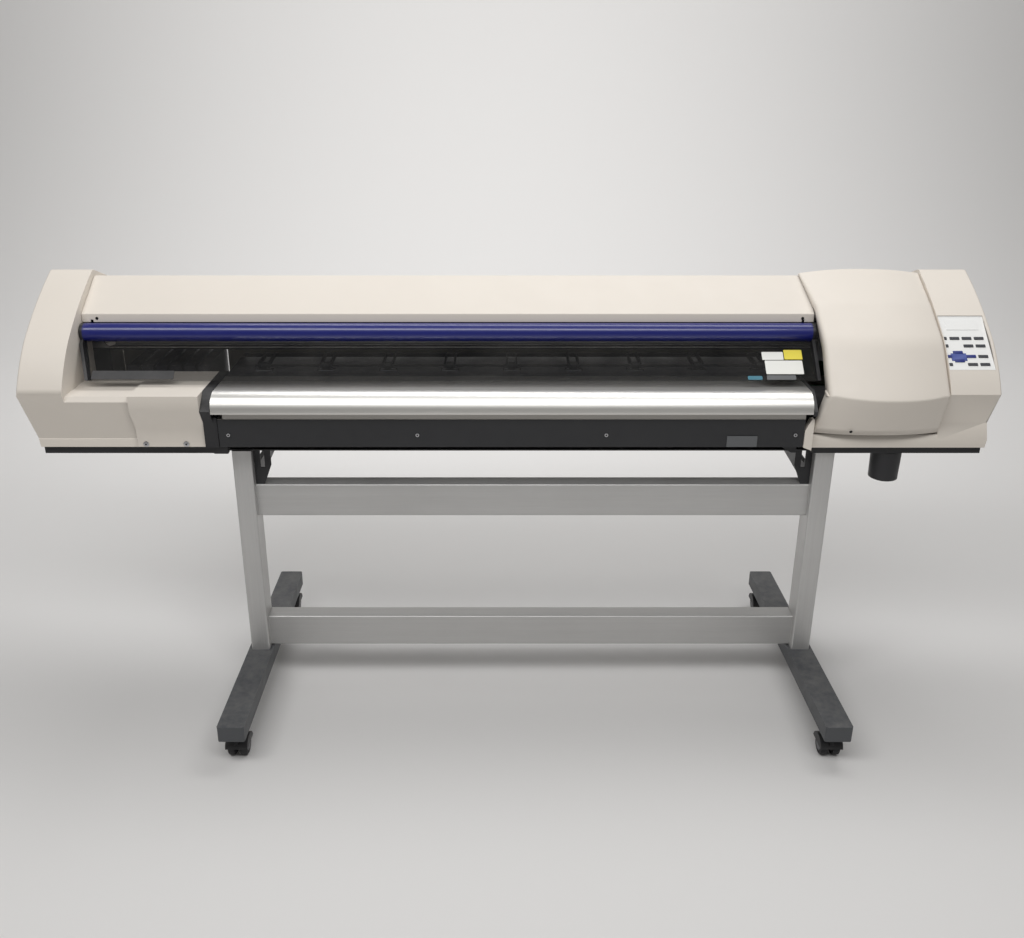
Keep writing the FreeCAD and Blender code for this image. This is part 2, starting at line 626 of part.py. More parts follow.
def make_front_cover():
    """The swinging cover: a round grip bar, the smoked window and two end caps."""
    low, high = LEFT_WALL + 1.5, D.hood_left - 1.5
    bar_start = (low + D.cap_thick, D.bar_y, D.bar_z)
    bar_length = high - low - 2 * D.cap_thick
    bar = without("GripBar", rod("GripBarOuter", "x", D.bar_radius, bar_length, bar_start),
                  [rod("GripBarBore", "x", D.bar_radius - 2, bar_length, bar_start)])
    slot_top = D.bar_z - D.bar_radius + 6
    top_y = D.bar_y - 6
    foot_y, foot_z = D.window_foot_y, D.window_foot_z
    pane_outline = [(foot_y, foot_z), (top_y, slot_top), (top_y + D.window_sheet, slot_top - 4),
                    (foot_y + D.window_sheet, foot_z - 3)]
    arm_top, arm_foot = D.bar_z - D.bar_radius - 0.5, foot_z - 5
    bar_z = D.bar_z
    left, right = low + D.cap_thick, high - D.cap_thick
    pane = common("WindowPane", [
        prism("WindowSheet", pane_outline, left, right),
        prism("WindowEnds", [(left + D.arm_lean, arm_foot), (right, arm_foot), (right, bar_z), (left, bar_z),
                             (left, arm_top)],
              foot_y - 5, D.bar_y + 5, "XZ_Plane")])
    part("cover_window", without("Window", pane, [rod("BarClear", "x", D.bar_radius, high - low,
                                                      (low, D.bar_y, D.bar_z))]))
    part("cover_grip_bar", bar)
    cap_outline = [(foot_y - 3, foot_z + 1), (D.bar_y - 18, D.bar_z - 14), (D.bar_y + 4, D.bar_z - 20),
                   (foot_y + 12, foot_z - 5)]
    caps = []
    for tag, x in (("Left", low), ("Right", high - D.cap_thick)):
        web = prism(f"Cap{tag}Web", cap_outline, x, x + D.cap_thick)
        if tag == "Left":
            web = common("CapLeftArm", [
                prism("CapLeftSheet", cap_outline, x, x + D.arm_lean + D.cap_thick + 1),
                prism("CapLeftSlab", [(low + D.arm_lean, arm_foot), (left + D.arm_lean, arm_foot),
                                      (left, arm_top), (left, bar_z), (low, bar_z), (low, arm_top)],
                      foot_y - 10, D.bar_y + 10, "XZ_Plane")])
        disc = rod(f"Cap{tag}Disc", "x", D.bar_radius, D.cap_thick, (x, D.bar_y, D.bar_z))
        caps.append(joined(f"Cap{tag}", [web, disc]))
    part("cover_end_caps", together("CoverEndCaps", caps))


def make_platen():
    """The platen with its vacuum holes and grit roller slots, and the cutting strip in its groove."""
    top = D.shelf_z
    plate = block("PlatenPlate", (D.apron_left, D.apron_right), (D.apron_back + 0.2, D.platen_back),
                  (top - D.platen_thick, top))
    groove = block("StripGroove", (D.apron_left - 1, D.apron_right + 1), (46, 60), (top - 2, top + 1))
    shaft_groove = block("ShaftGroove", (D.apron_left - 1, D.apron_right + 1), (D.grit_y - 7, D.grit_y + 7),
                         (top - D.platen_thick - 1, top - 2.6))
    cuts = [groove, shaft_groove]
    for number, x in enumerate(grit_positions()):
        cuts.append(block(f"GritSlot{number}", (x - 22, x + 22), (D.grit_y - 13, D.grit_y + 13),
                          (top - D.platen_thick - 1, top + 1)))
    for number in range(46):
        x = D.apron_left + 32 + number * 30.5
        cuts.append(rod(f"VacuumHole{number}", "z", 1.6, D.platen_thick + 2,
                        (x, 70, top - D.platen_thick - 1)))
    strip = block("CuttingStrip", (D.apron_left, D.apron_right), (46.2, 59.8), (top - 2, top - 0.3))
    part("platen", together("Platen", [without("PlatenCut", plate, cuts), strip]))


def grit_positions():
    """The middles of the grit rollers along X."""
    return [D.apron_left + 85 + number * 157 for number in range(9)]


def make_apron():
    """The bright front apron: flat, then bent down over the front in a quarter round."""
    thick = D.apron_sheet
    top, bend = D.shelf_z, D.apron_bend
    front = D.apron_bend_y - bend
    lip = top - bend
    outline = [
        (D.apron_back, top - thick), (D.apron_back, top), (D.apron_bend_y, top, -bend),
        (front, lip), (front, lip - 4), (front + thick, lip - 4), (front + thick, lip, bend - thick),
        (D.apron_bend_y, top - thick),
    ]
    part("apron", prism("Apron", outline, D.apron_left, D.apron_right))


def make_front_rail():
    """The dark front rail under the apron, and the lighter strip above it."""
    face = D.rail_face_y
    low, high = D.rail_left, D.rail_right
    rail_outline = [(face, D.rail_base), (face - 2, D.rail_top), (face + 34, D.rail_top),
                    (face + 34, D.rail_base)]
    hollow = block("RailHollow", (low - 1, high + 1), (face + 3, face + 31),
                   (D.rail_base + 3, D.rail_top - 3))
    rail = without("RailShell", prism("RailBody", rail_outline, low, high), [hollow])
    strip = block("RailStrip", (low + 13, high), (face - 1, face + 30), (D.rail_top, D.strip_top - 0.5))
    tab_high, tab_low, tab_right = D.rail_base + 1, D.rail_base - 22, high - 8
    tab_outline = [(high - 57, tab_high), (high - 20, tab_low), (tab_right, tab_low), (tab_right, tab_high)]
    tab = prism("RailTab", tab_outline, face + 18, face + 32, "XZ_Plane")
    part("front_rail", joined("FrontRail", [rail, strip, tab]))


def make_apron_ends():
    """Black end plates that close the apron and platen on both sides, and the rail's left end."""
    top = D.shelf_z + 1
    upper = [(D.shelf_back, top), (D.apron_bend_y - 2, top), (D.nose_y - 1, D.nose_z)]
    whole = upper + [(D.throat_y + 2, D.throat_z), (D.rail_face_y + 2, D.rail_base),
                     (D.rail_face_y + 60, D.rail_base), (D.shelf_back, D.shelf_z - 60)]
    left, right = D.service_right + 0.5, D.right_shoulder_x - 0.5
    plate = prism("ApronEndLeft", whole, left, D.apron_left - 1.2)
    stop = block("RailStopLeft", (left, D.rail_left - 0.5), (D.rail_face_y - 3, D.rail_face_y + 34),
                 (D.rail_base, D.rail_top + 4))
    tab_left, tab_right, under = left + 16, left + 50, D.rail_base - 0.5
    tab = prism("RailStopTab", [
        (tab_left, D.rail_base - 20), (tab_right, D.rail_base - 20), (tab_right, under),
        (D.rail_left - 0.5, under), (D.rail_left - 0.5, D.rail_base + 1), (tab_left, D.rail_base + 1),
    ], D.rail_face_y + 6, D.rail_face_y + 20, "XZ_Plane")
    short = upper + [(D.nose_y + 4, D.strip_top - 8), (D.shelf_back, D.strip_top - 8)]
    pieces = [joined("ApronLeftEnd", [plate, stop, tab]),
              prism("ApronEndRight", short, D.apron_right + 0.5, right)]
    part("apron_ends", together("ApronEnds", pieces))


def hood_section(x, inset, fullness):
    """One slice of the carriage hood at an X: fullness runs from 0 at the sides to 1 at the middle."""
    push = D.hood_bulge.value * fullness
    rise = D.hood_rise.value * fullness
    foot_drop = inset * 4
    foot_front, crease_front = D.hood_foot_y.value - push * 0.8, D.crease_y.value - push
    lean = (foot_front - crease_front) / (D.crease_z.value - D.hood_foot_z.value)
    corners = [
        (foot_front + inset + foot_drop * lean, D.hood_foot_z.value - foot_drop),
        (D.crease_y.value - push + inset, D.crease_z.value - 6 * fullness),
        (D.cheek_y.value - push * 0.75 + inset, D.cheek_z.value + 4 * fullness - inset),
        (60 - push * 0.4 + inset * 0.7, 1030 + rise * 0.8 - inset),
        (D.ridge_y.value + inset * 0.4, D.hood_ridge_z.value + rise - inset),
        (D.ridge_y.value + 8 + inset, D.hood_ridge_z.value + rise - 4 - inset),
        (D.ridge_y.value + 8 + inset, D.top_ridge_z.value + 1.5 - inset),
        (40 + inset, D.hood_foot_z.value - foot_drop),
    ]
    points = [Vector(x, y, z) for y, z in corners]
    return Part.makePolygon(points + points[:1])


def make_carriage_hood():
    """The bulging hood over the carriage dock: a lofted shell, open behind and below."""
    left, right = D.hood_left.value, D.hood_right.value
    middle, half = (left + right) / 2, (right - left) / 2
    def slices(inset, side_inset):
        wires = []
        for step in range(9):
            ratio = -1 + step / 4
            x = middle + ratio * (half - side_inset)
            wires.append(hood_section(x, inset, 1 - abs(ratio) ** 2.2))
        return Part.makeLoft(wires, True, False)
    wall = D.cover_wall.value
    solid = slices(0, 0)
    void = slices(wall, wall)
    back = Part.makeBox(right - left + 2, 400, 400, Vector(left - 1, -62, 700))
    behind = back.cut(hood_band(left, right))
    shell = solid.fuse([hood_toe(left), hood_shoulder(left)]).cut(void).cut(behind)
    hood = DOC.addObject("Part::Feature", "CarriageHood")
    hood.Shape = shell
    hood.Placement = FreeCAD.Placement()
    part("carriage_hood", hood)


def hood_toe(left):
    """The spur at the hood's lower left corner, which runs down over the end of the rail."""
    foot_y, foot_z = D.hood_foot_y.value, D.hood_foot_z.value
    points = [Vector(left, D.crease_y.value, D.crease_z.value), Vector(left + 1, foot_y, foot_z),
              Vector(D.hood_toe_left.value, foot_y, foot_z)]
    return Part.Face(Part.makePolygon(points + points[:1])).extrude(Vector(0, D.hood_toe_depth.value, 0))


def hood_shoulder(left):
    """The wedge on the hood's left flank that laps over the end of the top cover."""
    ridge_y, ridge_z = D.ridge_y.value, D.hood_ridge_z.value
    front_y, lap = 60, D.top_ridge_z.value + 1.2
    side = [(front_y, 1030), (ridge_y, ridge_z), (ridge_y, lap), (front_y, D.brow_z.value + 1.4)]
    points = [Vector(left - D.hood_lap.value, y, z) for y, z in side]
    solid = Part.Face(Part.makePolygon(points + points[:1])).extrude(Vector(D.hood_lap.value + 1, 0, 0))
    oblique = [Vector(left - 40, front_y - 10, 990), Vector(left, front_y - 10, 990),
               Vector(left, front_y, 990),
               Vector(left - D.hood_lap.value, ridge_y + 2, 990), Vector(left - 40, ridge_y + 2, 990)]
    return solid.cut(Part.Face(Part.makePolygon(oblique + oblique[:1])).extrude(Vector(0, 0, 120)))


def hood_band(left, right):
    """The space in front of the carriage path, where the hood keeps its side walls."""
    points = [Vector(left - 2, -64, 600), Vector(left - 2, -64, 857), Vector(left - 2, 40, 1000),
              Vector(left - 2, 150, 1077), Vector(left - 2, 500, 1077), Vector(left - 2, 500, 1200),
              Vector(left - 2, -300, 1200), Vector(left - 2, -300, 600)]
    face = Part.Face(Part.makePolygon(points + points[:1]))
    return face.extrude(Vector(right - left + 4, 0, 0))


def panel_tilt():
    """The slope of the control panel in degrees, and the (y, z) of its lower edge."""
    low = (D.panel_low_y.value, D.panel_low_z.value)
    rise, run = D.panel_high_z.value - low[1], D.panel_high_y.value - low[0]
    return math.degrees(math.atan2(rise, run)), low


def on_panel(name, across, along, height):
    """A block on the control panel, measured up the panel from its lower edge and out from it."""
    degrees, low = panel_tilt()
    ways = [D.panel_low_y + end for end in along]
    heights = [D.panel_low_z + end for end in height]
    return tilted(name, block(name + "Block", across, ways, heights), degrees, low)


def make_control_panel():
    """The membrane panel on the right end cover, with its display lens, and all of its keys."""
    edges = (D.panel_left, D.panel_left + D.panel_width)
    ends = (2, D.panel_length)
    slack = 0.35
    top = D.key_rise - 0.7
    holes = [on_panel(f"KeyHole{number}", (x - slack, x + length + slack),
                      (y - slack, y + D.key_width + slack), (-10, 5))
             for number, (x, y, length) in enumerate(key_spots())]
    for number, (across, along, _) in enumerate(cross_pieces()):
        holes.append(on_panel(f"CrossHole{number}", (across[0] - slack, across[1] + slack),
                              (along[0] - slack, along[1] + slack), (-10, 5)))
    plate = on_panel("PanelPlate", edges, ends, (-D.panel_thick, 0))
    lens = on_panel("DisplayLens", (edges[0] + 14, edges[1] - 18), (112, 140), (0.02, 1.0))
    base = on_panel("PanelBase", (edges[0] + 1, edges[1] - 1), (3, ends[1] - 1), (-9, -6))
    rims = [on_panel(f"PanelRim{number}", across, (3, ends[1] - 1), (-6.5, -D.panel_thick + 0.5))
            for number, across in enumerate(((edges[0] + 0.2, edges[0] + 1.8),
                                             (edges[1] - 1.8, edges[1] - 0.2)))]
    tray = joined("PanelTray", [without("PanelCut", plate, holes), base, *rims])
    part("control_panel", together("ControlPanel", [tray, lens]))
    for number, (x, y, length) in enumerate(key_spots(), start=1):
        key = on_panel(f"Key{number}", (x, x + length), (y, y + D.key_width), (-2.5, top))
        part(f"panel_key_{number:02d}", key)
    pieces = [on_panel(f"Cross{number}", across, along, (-2.5, top - lower))
              for number, (across, along, lower) in enumerate(cross_pieces())]
    part("cursor_cross_key", joined("CrossKey", pieces))


KEY_COLUMNS = ((2.4, 7.3), (17.2, None), (46.2, None), (75.2, None))


def key_spots():
    """Each bar-shaped key's lower left corner, across and up the panel, and its length.

    The first column is mostly under the hood's edge, so its keys are short.
    """
    rows = ((84.4, (0, 1, 2, 3)), (63.5, (0, 2, 3)), (34.6, (3,)), (12.8, (0, 2, 3)))
    return [(D.panel_left + KEY_COLUMNS[column][0], y, KEY_COLUMNS[column][1] or D.key_length)
            for y, columns in rows for column in columns]


def cross_pieces():
    """The cursor key's middle and four arms: across, along and how much lower than a key each is."""
    left = D.panel_left
    middle = ((left + 10.6, left + 46.6), (26.5, 46.6), 0.8)
    arms = [((left + 17.2, left + 17.2 + D.key_length), (45.4, 52.9), 0),
            ((left + 17.2, left + 17.2 + D.key_length), (22.6, 30.1), 0),
            ((left + 2.4, left + 11.2), (34.6, 42.1), 0),
            ((left + 46.2, left + 46.2 + D.key_length), (34.6, 42.1), 0)]
    return [middle] + arms


def make_guide_rail():
    """The long rail the carriages run on, with its row of fixing holes."""
    half = D.rail_depth / 2
    low, high = LEFT_WALL - 30, RIGHT_WALL + 30
    rail = block("GuideRailBar", (low, high), (D.rail_y - half, D.rail_y + half),
                 (D.rail_z - D.guide_height / 2, D.rail_z + D.guide_height / 2))
    channel = block("RailChannel", (low - 1, high + 1), (D.rail_y - half + 6, D.rail_y + half + 1),
                    (D.rail_z - 14, D.rail_z + 14))
    holes = [rod(f"RailHole{number}", "y", 2.4, 12, (-1000 + number * 56, D.rail_y - half - 2, D.rail_z - 18))
             for number in range(36)]
    bores = [rod(f"PulleyBore{number}", "y", D.pulley_shaft + 0.06, 12, (x, D.rail_y - half - 2, D.belt_z))
             for number, x in enumerate((-D.pulley_x, D.pulley_x))]
    part("guide_rail", without("GuideRail", rail, [channel, *holes, *bores]))


def carriage_shell(name, x, width, front, low, high):
    """A carriage body: a box in front of the belt, bridged back over the top of the rail."""
    half = D.rail_depth / 2
    box_back = D.belt_y - D.belt_width / 2 - D.carriage_gap * 4
    rail_top = D.rail_z + D.guide_height / 2 + D.carriage_gap
    ends = (x - width / 2, x + width / 2)
    box = block(name + "Box", ends, (front, box_back), (low, high))
    neck = block(name + "Neck", ends, (box_back - 16, box_back), (high - 1, rail_top + 12))
    bridge = block(name + "Bridge", ends, (box_back - 16, D.rail_y + half - 4), (rail_top, rail_top + 12))
    return joined(name, [box, neck, bridge])


def make_carriages():
    """The print carriage, the tool carriage beside it, and the tool carriage's blade holder."""
    front, low, high = D.carriage_front, D.carriage_low, D.carriage_high
    shell = carriage_shell("PrintShell", D.carriage_x, D.carriage_width, front, low, high)
    heads = block("PrintHeads", (D.carriage_x - 50, D.carriage_x + 50), (front, D.grit_y - 15),
                  (D.shelf_z + 8, low + 1))
    part("print_carriage", joined("PrintCarriage", [shell, heads]))
    body = carriage_shell("ToolShell", D.tool_x, D.tool_width, D.blade_y + 13, low, high)
    clamp = block("BladeClamp", (D.tool_x - 15, D.tool_x + 15), (D.blade_y - 14, D.blade_y + 14),
                  (low, low + 18))
    bore = rod("BladeBore", "z", D.blade_radius + 0.06, 90, (D.tool_x, D.blade_y, low - 10))
    part("tool_carriage", without("ToolCarriage", joined("ToolCarriageSolid", [body, clamp]), [bore]))
    barrel = rod("BladeBarrel", "z", D.blade_radius, high - low + 14, (D.tool_x, D.blade_y, low - 16))
    collar = rod("BladeCollar", "z", D.blade_radius - 2.5, 10, (D.tool_x, D.blade_y, low - 25))
    part("blade_holder", joined("BladeHolder", [barrel, collar]))


def make_drive():
    """The carriage belt, its two pulleys and the two motors."""
    y, z = D.belt_y, D.belt_z
    outer = D.pulley_radius + D.belt_thick
    gap = 0.3
    loops = []
    for tag, radius in (("Outer", outer + gap), ("Inner", D.pulley_radius + gap)):
        span = block(f"Belt{tag}Span", (-D.pulley_x, D.pulley_x),
                     (y - D.belt_width / 2, y + D.belt_width / 2),
                     (z - radius, z + radius))
        ends = [rod(f"Belt{tag}End{n}", "y", radius, D.belt_width, (x, y - D.belt_width / 2, z))
                for n, x in enumerate((-D.pulley_x, D.pulley_x))]
        loops.append(joined(f"Belt{tag}", [span, *ends]))
    part("drive_belt", without("DriveBelt", loops[0], [loops[1]]))
    for name, x in (("drive_pulley", D.pulley_x), ("idler_pulley", -D.pulley_x)):
        wheel = rod(name + "Rim", "y", D.pulley_radius, D.belt_width, (x, y - D.belt_width / 2, z))
        shaft = rod(name + "Shaft", "y", D.pulley_shaft, 24, (x, y - 6, z))
        part(name, joined(name + "Solid", [wheel, shaft]))
    feed = rod("FeedMotor", "x", 30, 70, (D.apron_right + 22, D.grit_y, D.shelf_z - 76))
    drive_case = block("CarriageMotor", (D.pulley_x - 21, D.pulley_x + 21), (D.rail_y + 52, D.rail_y + 104),
                       (z - 21, z + 21))
    part("motors", together("Motors", [feed, drive_case]))


def make_feed():
    """The grit roller shaft, the pinch roller arms with their rollers, and the loading lever."""
    grit_z = D.shelf_z - D.grit_radius + 1.2
    shaft = rod("GritShaft", "x", D.grit_shaft_radius, D.apron_right - D.apron_left - 6,
                (D.apron_left + 3, D.grit_y, grit_z))
    rollers = [rod(f"Grit{number}", "x", D.grit_radius, 40, (x - 20, D.grit_y, grit_z))
               for number, x in enumerate(grit_positions())]
    part("grit_rollers", joined("GritRollers", [shaft, *rollers]))
    pinch_z = grit_z + D.grit_radius + D.pinch_radius + 0.3
    arms = [rod("PinchPivot", "x", 5, D.apron_right - D.apron_left - 40,
                (D.apron_left + 20, D.pinch_pivot_y, D.pinch_pivot_z - 30))]
    wheels = [rod("PinchAxle", "x", D.pinch_axle, 1290, (-642, D.grit_y, pinch_z))]
    for number, x in enumerate(grit_positions()):
        outline = [(D.grit_y - 7, pinch_z - 5), (D.grit_y - 7, pinch_z + 9), (D.grit_y + 10, pinch_z + 11),
                   (D.pinch_pivot_y + 6, D.pinch_pivot_z - 24), (D.pinch_pivot_y + 6, D.pinch_pivot_z - 35),
                   (D.grit_y + 12, pinch_z - 4)]
        for tag, offset in (("A", -14), ("B", 10)):
            plate = prism(f"PinchArm{number}{tag}", outline, x + offset, x + offset + 4)
            hole = rod(f"PinchHole{number}{tag}", "x", D.pinch_axle + 0.05, 12,
                       (x + offset - 4, D.grit_y, pinch_z))
            arms.append(without(f"PinchArmCut{number}{tag}", plate, [hole]))
        wheels.append(rod(f"PinchWheel{number}", "x", D.pinch_radius, 18, (x - 9, D.grit_y, pinch_z)))
    part("pinch_arms", joined("PinchArms", arms))
    part("pinch_rollers", joined("PinchRollers", wheels))
    stalk = block("LeverStalk", (D.lever_x - 5, D.lever_x + 5), (D.lever_y, D.lever_y + 62),
                  (D.lever_z - 4, D.lever_z + 4))
    knob = block("LeverKnob", (D.lever_x - 9, D.lever_x + 9), (D.lever_y + 54, D.lever_y + 80),
                 (D.lever_z - 8, D.lever_z + 8))
    pivot = rod("LeverPivot", "x", 9, 24, (D.lever_x - 12, D.lever_y, D.lever_z))
    part("loading_lever", joined("LoadingLever", [stalk, knob, pivot]))


def make_ink_system():
    """Cartridges in the back, the capping station under the dock and the drain bottle below."""
    cartridges = [block(f"Cartridge{n}", (-975 + n * 36, -947 + n * 36), (D.back_y - 170, D.back_y + 6),
                        (PAN_TOP + 28, D.shelf_z + 2)) for n in range(6)]
    part("ink_cartridges", together("InkCartridges", cartridges))
    base = block("CapBase", (830, 980), (10, 88), (PAN_TOP + 20, D.shelf_z - 14))
    pads = [block(f"CapPad{n}", (846 + n * 44, 878 + n * 44), (22, 76), (D.shelf_z - 14, D.shelf_z + 5))
            for n in range(3)]
    part("capping_station", joined("CappingStation", [base, *pads]))
    top = D.deck_height - 2
    low = top - D.bottle_height
    flask = rod("Flask", "z", D.bottle_radius, D.bottle_height, (D.bottle_x, D.bottle_y, low))
    ball = DOC.addObject("Part::Sphere", "FlaskBall")
    drive(ball, "Radius", D.bottle_radius * 2.1)
    place(ball, D.bottle_x, D.bottle_y, low + D.bottle_radius * 2.1)
    taper = DOC.addObject("Part::Cone", "FlaskTaper")
    drive(taper, "Radius1", D.bottle_radius - 2)
    drive(taper, "Radius2", D.bottle_radius)
    drive(taper, "Height", D.bottle_height)
    place(taper, D.bottle_x, D.bottle_y, low)
    rounded = common("FlaskRound", [flask, ball, taper])
    part("drain_bottle", rounded)


def make_electronics():
    """The main board, the power supply and the power inlet in the right of the body."""
    board = block("MainBoard", (760, 980), (D.back_y - 40, D.back_y - 37), (790, 900))
    supply = block("PowerSupply", (800, 980), (140, 230), (PAN_TOP + 4, PAN_TOP + 60))
    inlet = block("PowerInlet", (904, 936), (D.back_y - 30, D.back_y + 1), (737, 763))
    part("electronics", together("Electronics", [board, supply, inlet]))


def make_screws():
    """Pan-head screws in the front rail and the service cover."""
    screws = []
    for number in range(4):
        x = D.screw_pitch * (number - 1.5) + 8
        screws.append(rod(f"RailScrew{number}", "y", 4.2, 3, (x, D.rail_face_y - 4.1, D.rail_base + 32)))
    for number, x in enumerate((-873, -776)):
        screws.append(rod(f"ServiceScrew{number}", "y", 4, 3, (x, D.skirt_y - 4.2, D.skirt_z + 14)))
    part("screws", together("Screws", screws))


def check_and_write():
    """Recompute, refuse anything broken, and write one STEP file for each sub-part."""
    DOC.recompute()
    for item in DOC.Objects:
        if "Invalid" in item.State or "Error" in item.State:
            raise ValueError(f"{item.Label} failed: {item.State}")
    os.makedirs("parts", exist_ok=True)
    for item in PARTS:
        shape = item.Shape
        if shape.isNull() or not shape.isValid() or not shape.Solids:
            raise ValueError(f"{item.Label} has no valid solid")
        shape.exportStep(f"parts/{item.Label}.step")
    print(len(PARTS), "sub-parts written")


for make in (make_legs_and_feet, make_crossbeams, make_stand_brackets, make_media_roll_shaft, make_casters,
             make_chassis, make_end_covers, make_service_cover, make_top_cover, make_rear_cover,
             make_front_cover, make_platen, make_apron, make_front_rail, make_apron_ends,
             make_carriage_hood, make_control_panel, make_guide_rail, make_carriages, make_drive,
             make_feed, make_ink_system, make_electronics, make_screws):
    make()
check_and_write()
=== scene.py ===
"""Finishes, small fittings and lighting for a wide roll-fed print-and-cut machine on a two-leg stand."""

import json
import logging
import math
from dataclasses import dataclass, field
from enum import Enum
from typing import Any, Callable, NamedTuple, Sequence

import bmesh
import bpy
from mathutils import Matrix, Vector

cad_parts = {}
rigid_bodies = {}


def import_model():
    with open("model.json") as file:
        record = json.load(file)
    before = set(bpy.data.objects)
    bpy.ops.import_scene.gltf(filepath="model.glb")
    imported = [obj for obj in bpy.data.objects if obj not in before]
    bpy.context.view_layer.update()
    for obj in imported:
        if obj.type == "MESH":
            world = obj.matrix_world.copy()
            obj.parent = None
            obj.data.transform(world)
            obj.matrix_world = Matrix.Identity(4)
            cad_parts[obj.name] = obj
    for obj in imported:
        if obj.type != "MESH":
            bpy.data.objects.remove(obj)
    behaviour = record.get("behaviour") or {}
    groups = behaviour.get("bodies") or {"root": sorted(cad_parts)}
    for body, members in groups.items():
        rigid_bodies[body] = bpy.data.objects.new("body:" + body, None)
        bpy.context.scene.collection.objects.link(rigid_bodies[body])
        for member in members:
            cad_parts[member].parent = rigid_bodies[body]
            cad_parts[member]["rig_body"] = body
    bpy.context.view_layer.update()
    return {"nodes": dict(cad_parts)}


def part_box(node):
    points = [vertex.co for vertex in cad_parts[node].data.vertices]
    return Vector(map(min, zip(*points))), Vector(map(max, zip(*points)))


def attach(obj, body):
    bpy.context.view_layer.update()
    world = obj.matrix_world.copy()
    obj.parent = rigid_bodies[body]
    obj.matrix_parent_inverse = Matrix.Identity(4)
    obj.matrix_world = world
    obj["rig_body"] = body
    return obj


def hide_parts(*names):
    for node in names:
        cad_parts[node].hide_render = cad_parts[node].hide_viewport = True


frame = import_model()

log = logging.getLogger("print_and_cut_machine")
Colour = tuple[float, float, float]
Spot = tuple[float, float, float]
Ring = tuple[tuple[float, float], ...]

# Corners closer than this are one corner, and faces that bend by less than this are one face.
WELD_DISTANCE = 1e-6
FLAT_BEND = math.radians(0.3)
# An edge that bends by more than this is rounded.
CREASE_DEG = 50.0

KEY_NAMES = tuple(f"panel_key_{number:02d}" for number in range(1, 12))
CASTER_NAMES = tuple(f"caster_{row}_{side}" for row in ("front", "rear") for side in ("left", "right"))


class Effect(Enum):
    """The surface effects that several finishes share, each one node group."""

    TONE = "Tone drift"
    GRAIN = "Moulded grain"
    BRUSH = "Brushed lines"
    WEAR = "Edge wear"
    DUST = "Settled dust"
    SMUDGE = "Handling smudges"


class Along(Enum):
    """The way that brushed lines run, as the stretch of their pattern along X, Y and Z."""

    X = (0.012, 1.0, 1.0)
    Y = (1.0, 0.012, 1.0)
    Z = (1.0, 1.0, 0.012)


@dataclass
class Graph:
    """A node tree that nodes are added to and joined in."""

    tree: bpy.types.NodeTree

    def add(self, kind: str, values: dict[Any, Any] | None = None, **settings: Any) -> bpy.types.Node:
        """Add a node.

        Args:
            kind: The node's type name, without the ShaderNode prefix.
            values: What each input takes, by name or number: a plain value or another node's output.
            settings: Attributes of the node.

        Returns:
            The new node.
        """
        node = self.tree.nodes.new("ShaderNode" + kind if not kind.startswith("Node") else kind)
        for key, setting in settings.items():
            setattr(node, key, setting)
        for key, value in (values or {}).items():
            self.feed(node.inputs[key], value)
        return node

    def feed(self, socket: bpy.types.NodeSocket, value: Any) -> None:
        """Join an output to an input, or set the input's own value."""
        if isinstance(value, bpy.types.NodeSocket):
            self.tree.links.new(value, socket)
        elif isinstance(value, (tuple, list)) and len(value) == 3 and socket.type == "RGBA":
            socket.default_value = (*value, 1.0)
        else:
            socket.default_value = value

    def place(self) -> bpy.types.NodeSocket:
        """Return the object's own coordinates."""
        return self.add("TexCoord").outputs["Object"]

    def noise(self, place: Any, scale: Any, detail: float, **more: float) -> bpy.types.NodeSocket:
        """Add a Noise Texture node and return its value."""
        return self.add("TexNoise", {"Vector": place, "Scale": scale, "Detail": detail, **more}).outputs[0]

    def maths(self, operation: str, *values: Any, clamp: bool = False) -> bpy.types.NodeSocket:
        """Add a Math node and return its output."""
        return self.add("Math", dict(enumerate(values)), operation=operation, use_clamp=clamp).outputs[0]

    def mixed(self, share: Any, first: Any, second: Any) -> bpy.types.NodeSocket:
        """Add a colour Mix node and return its output."""
        node = self.add("Mix", {0: share, 6: first, 7: second}, data_type="RGBA")
        return node.outputs[2]

    def spread(self, value: Any, lowest: float, highest: float, to_low: Any = 0.0, to_high: Any = 1.0,
               ) -> bpy.types.NodeSocket:
        """Add a clamped Map Range node and return its output."""
        node = self.add("MapRange", {0: value, 1: lowest, 2: highest, 3: to_low, 4: to_high}, clamp=True)
        return node.outputs[0]


def new_group(effect: Effect, takes: Sequence[tuple[str, str, Any]], gives: Sequence[tuple[str, str]],
              ) -> tuple[bpy.types.NodeTree, Graph, Any, Any]:
    """Make an empty shader node group with named sockets.

    Args:
        effect: The effect that it holds.
        takes: Name, type and starting value of each input.
        gives: Name and type of each output.

    Returns:
        The tree, its graph, the input node's outputs and the output node's inputs.
    """
    tree = bpy.data.node_groups.new(effect.value, "ShaderNodeTree")
    for name, kind, value in takes:
        socket = tree.interface.new_socket(name, in_out="INPUT", socket_type="NodeSocket" + kind)
        socket.default_value = value
    for name, kind in gives:
        tree.interface.new_socket(name, in_out="OUTPUT", socket_type="NodeSocket" + kind)
    graph = Graph(tree)
    return tree, graph, graph.add("NodeGroupInput").outputs, graph.add("NodeGroupOutput").inputs


def tone_group() -> bpy.types.NodeTree:
    """Slow cloudy drift between a colour and a second tone of it."""
    tree, graph, takes, gives = new_group(
        Effect.TONE,
        [("Colour", "Color", (0.8, 0.8, 0.8, 1)), ("Second tone", "Color", (0.7, 0.7, 0.7, 1)),
         ("Scale", "Float", 3.0), ("Amount", "Float", 0.5)],
        [("Colour", "Color")])
    place = graph.place()
    cloud = graph.noise(place, takes["Scale"], 5.0, Roughness=0.6)
    share = graph.maths("MULTIPLY", graph.spread(cloud, 0.3, 0.7), takes["Amount"])
    graph.feed(gives["Colour"], graph.mixed(share, takes["Colour"], takes["Second tone"]))
    return tree


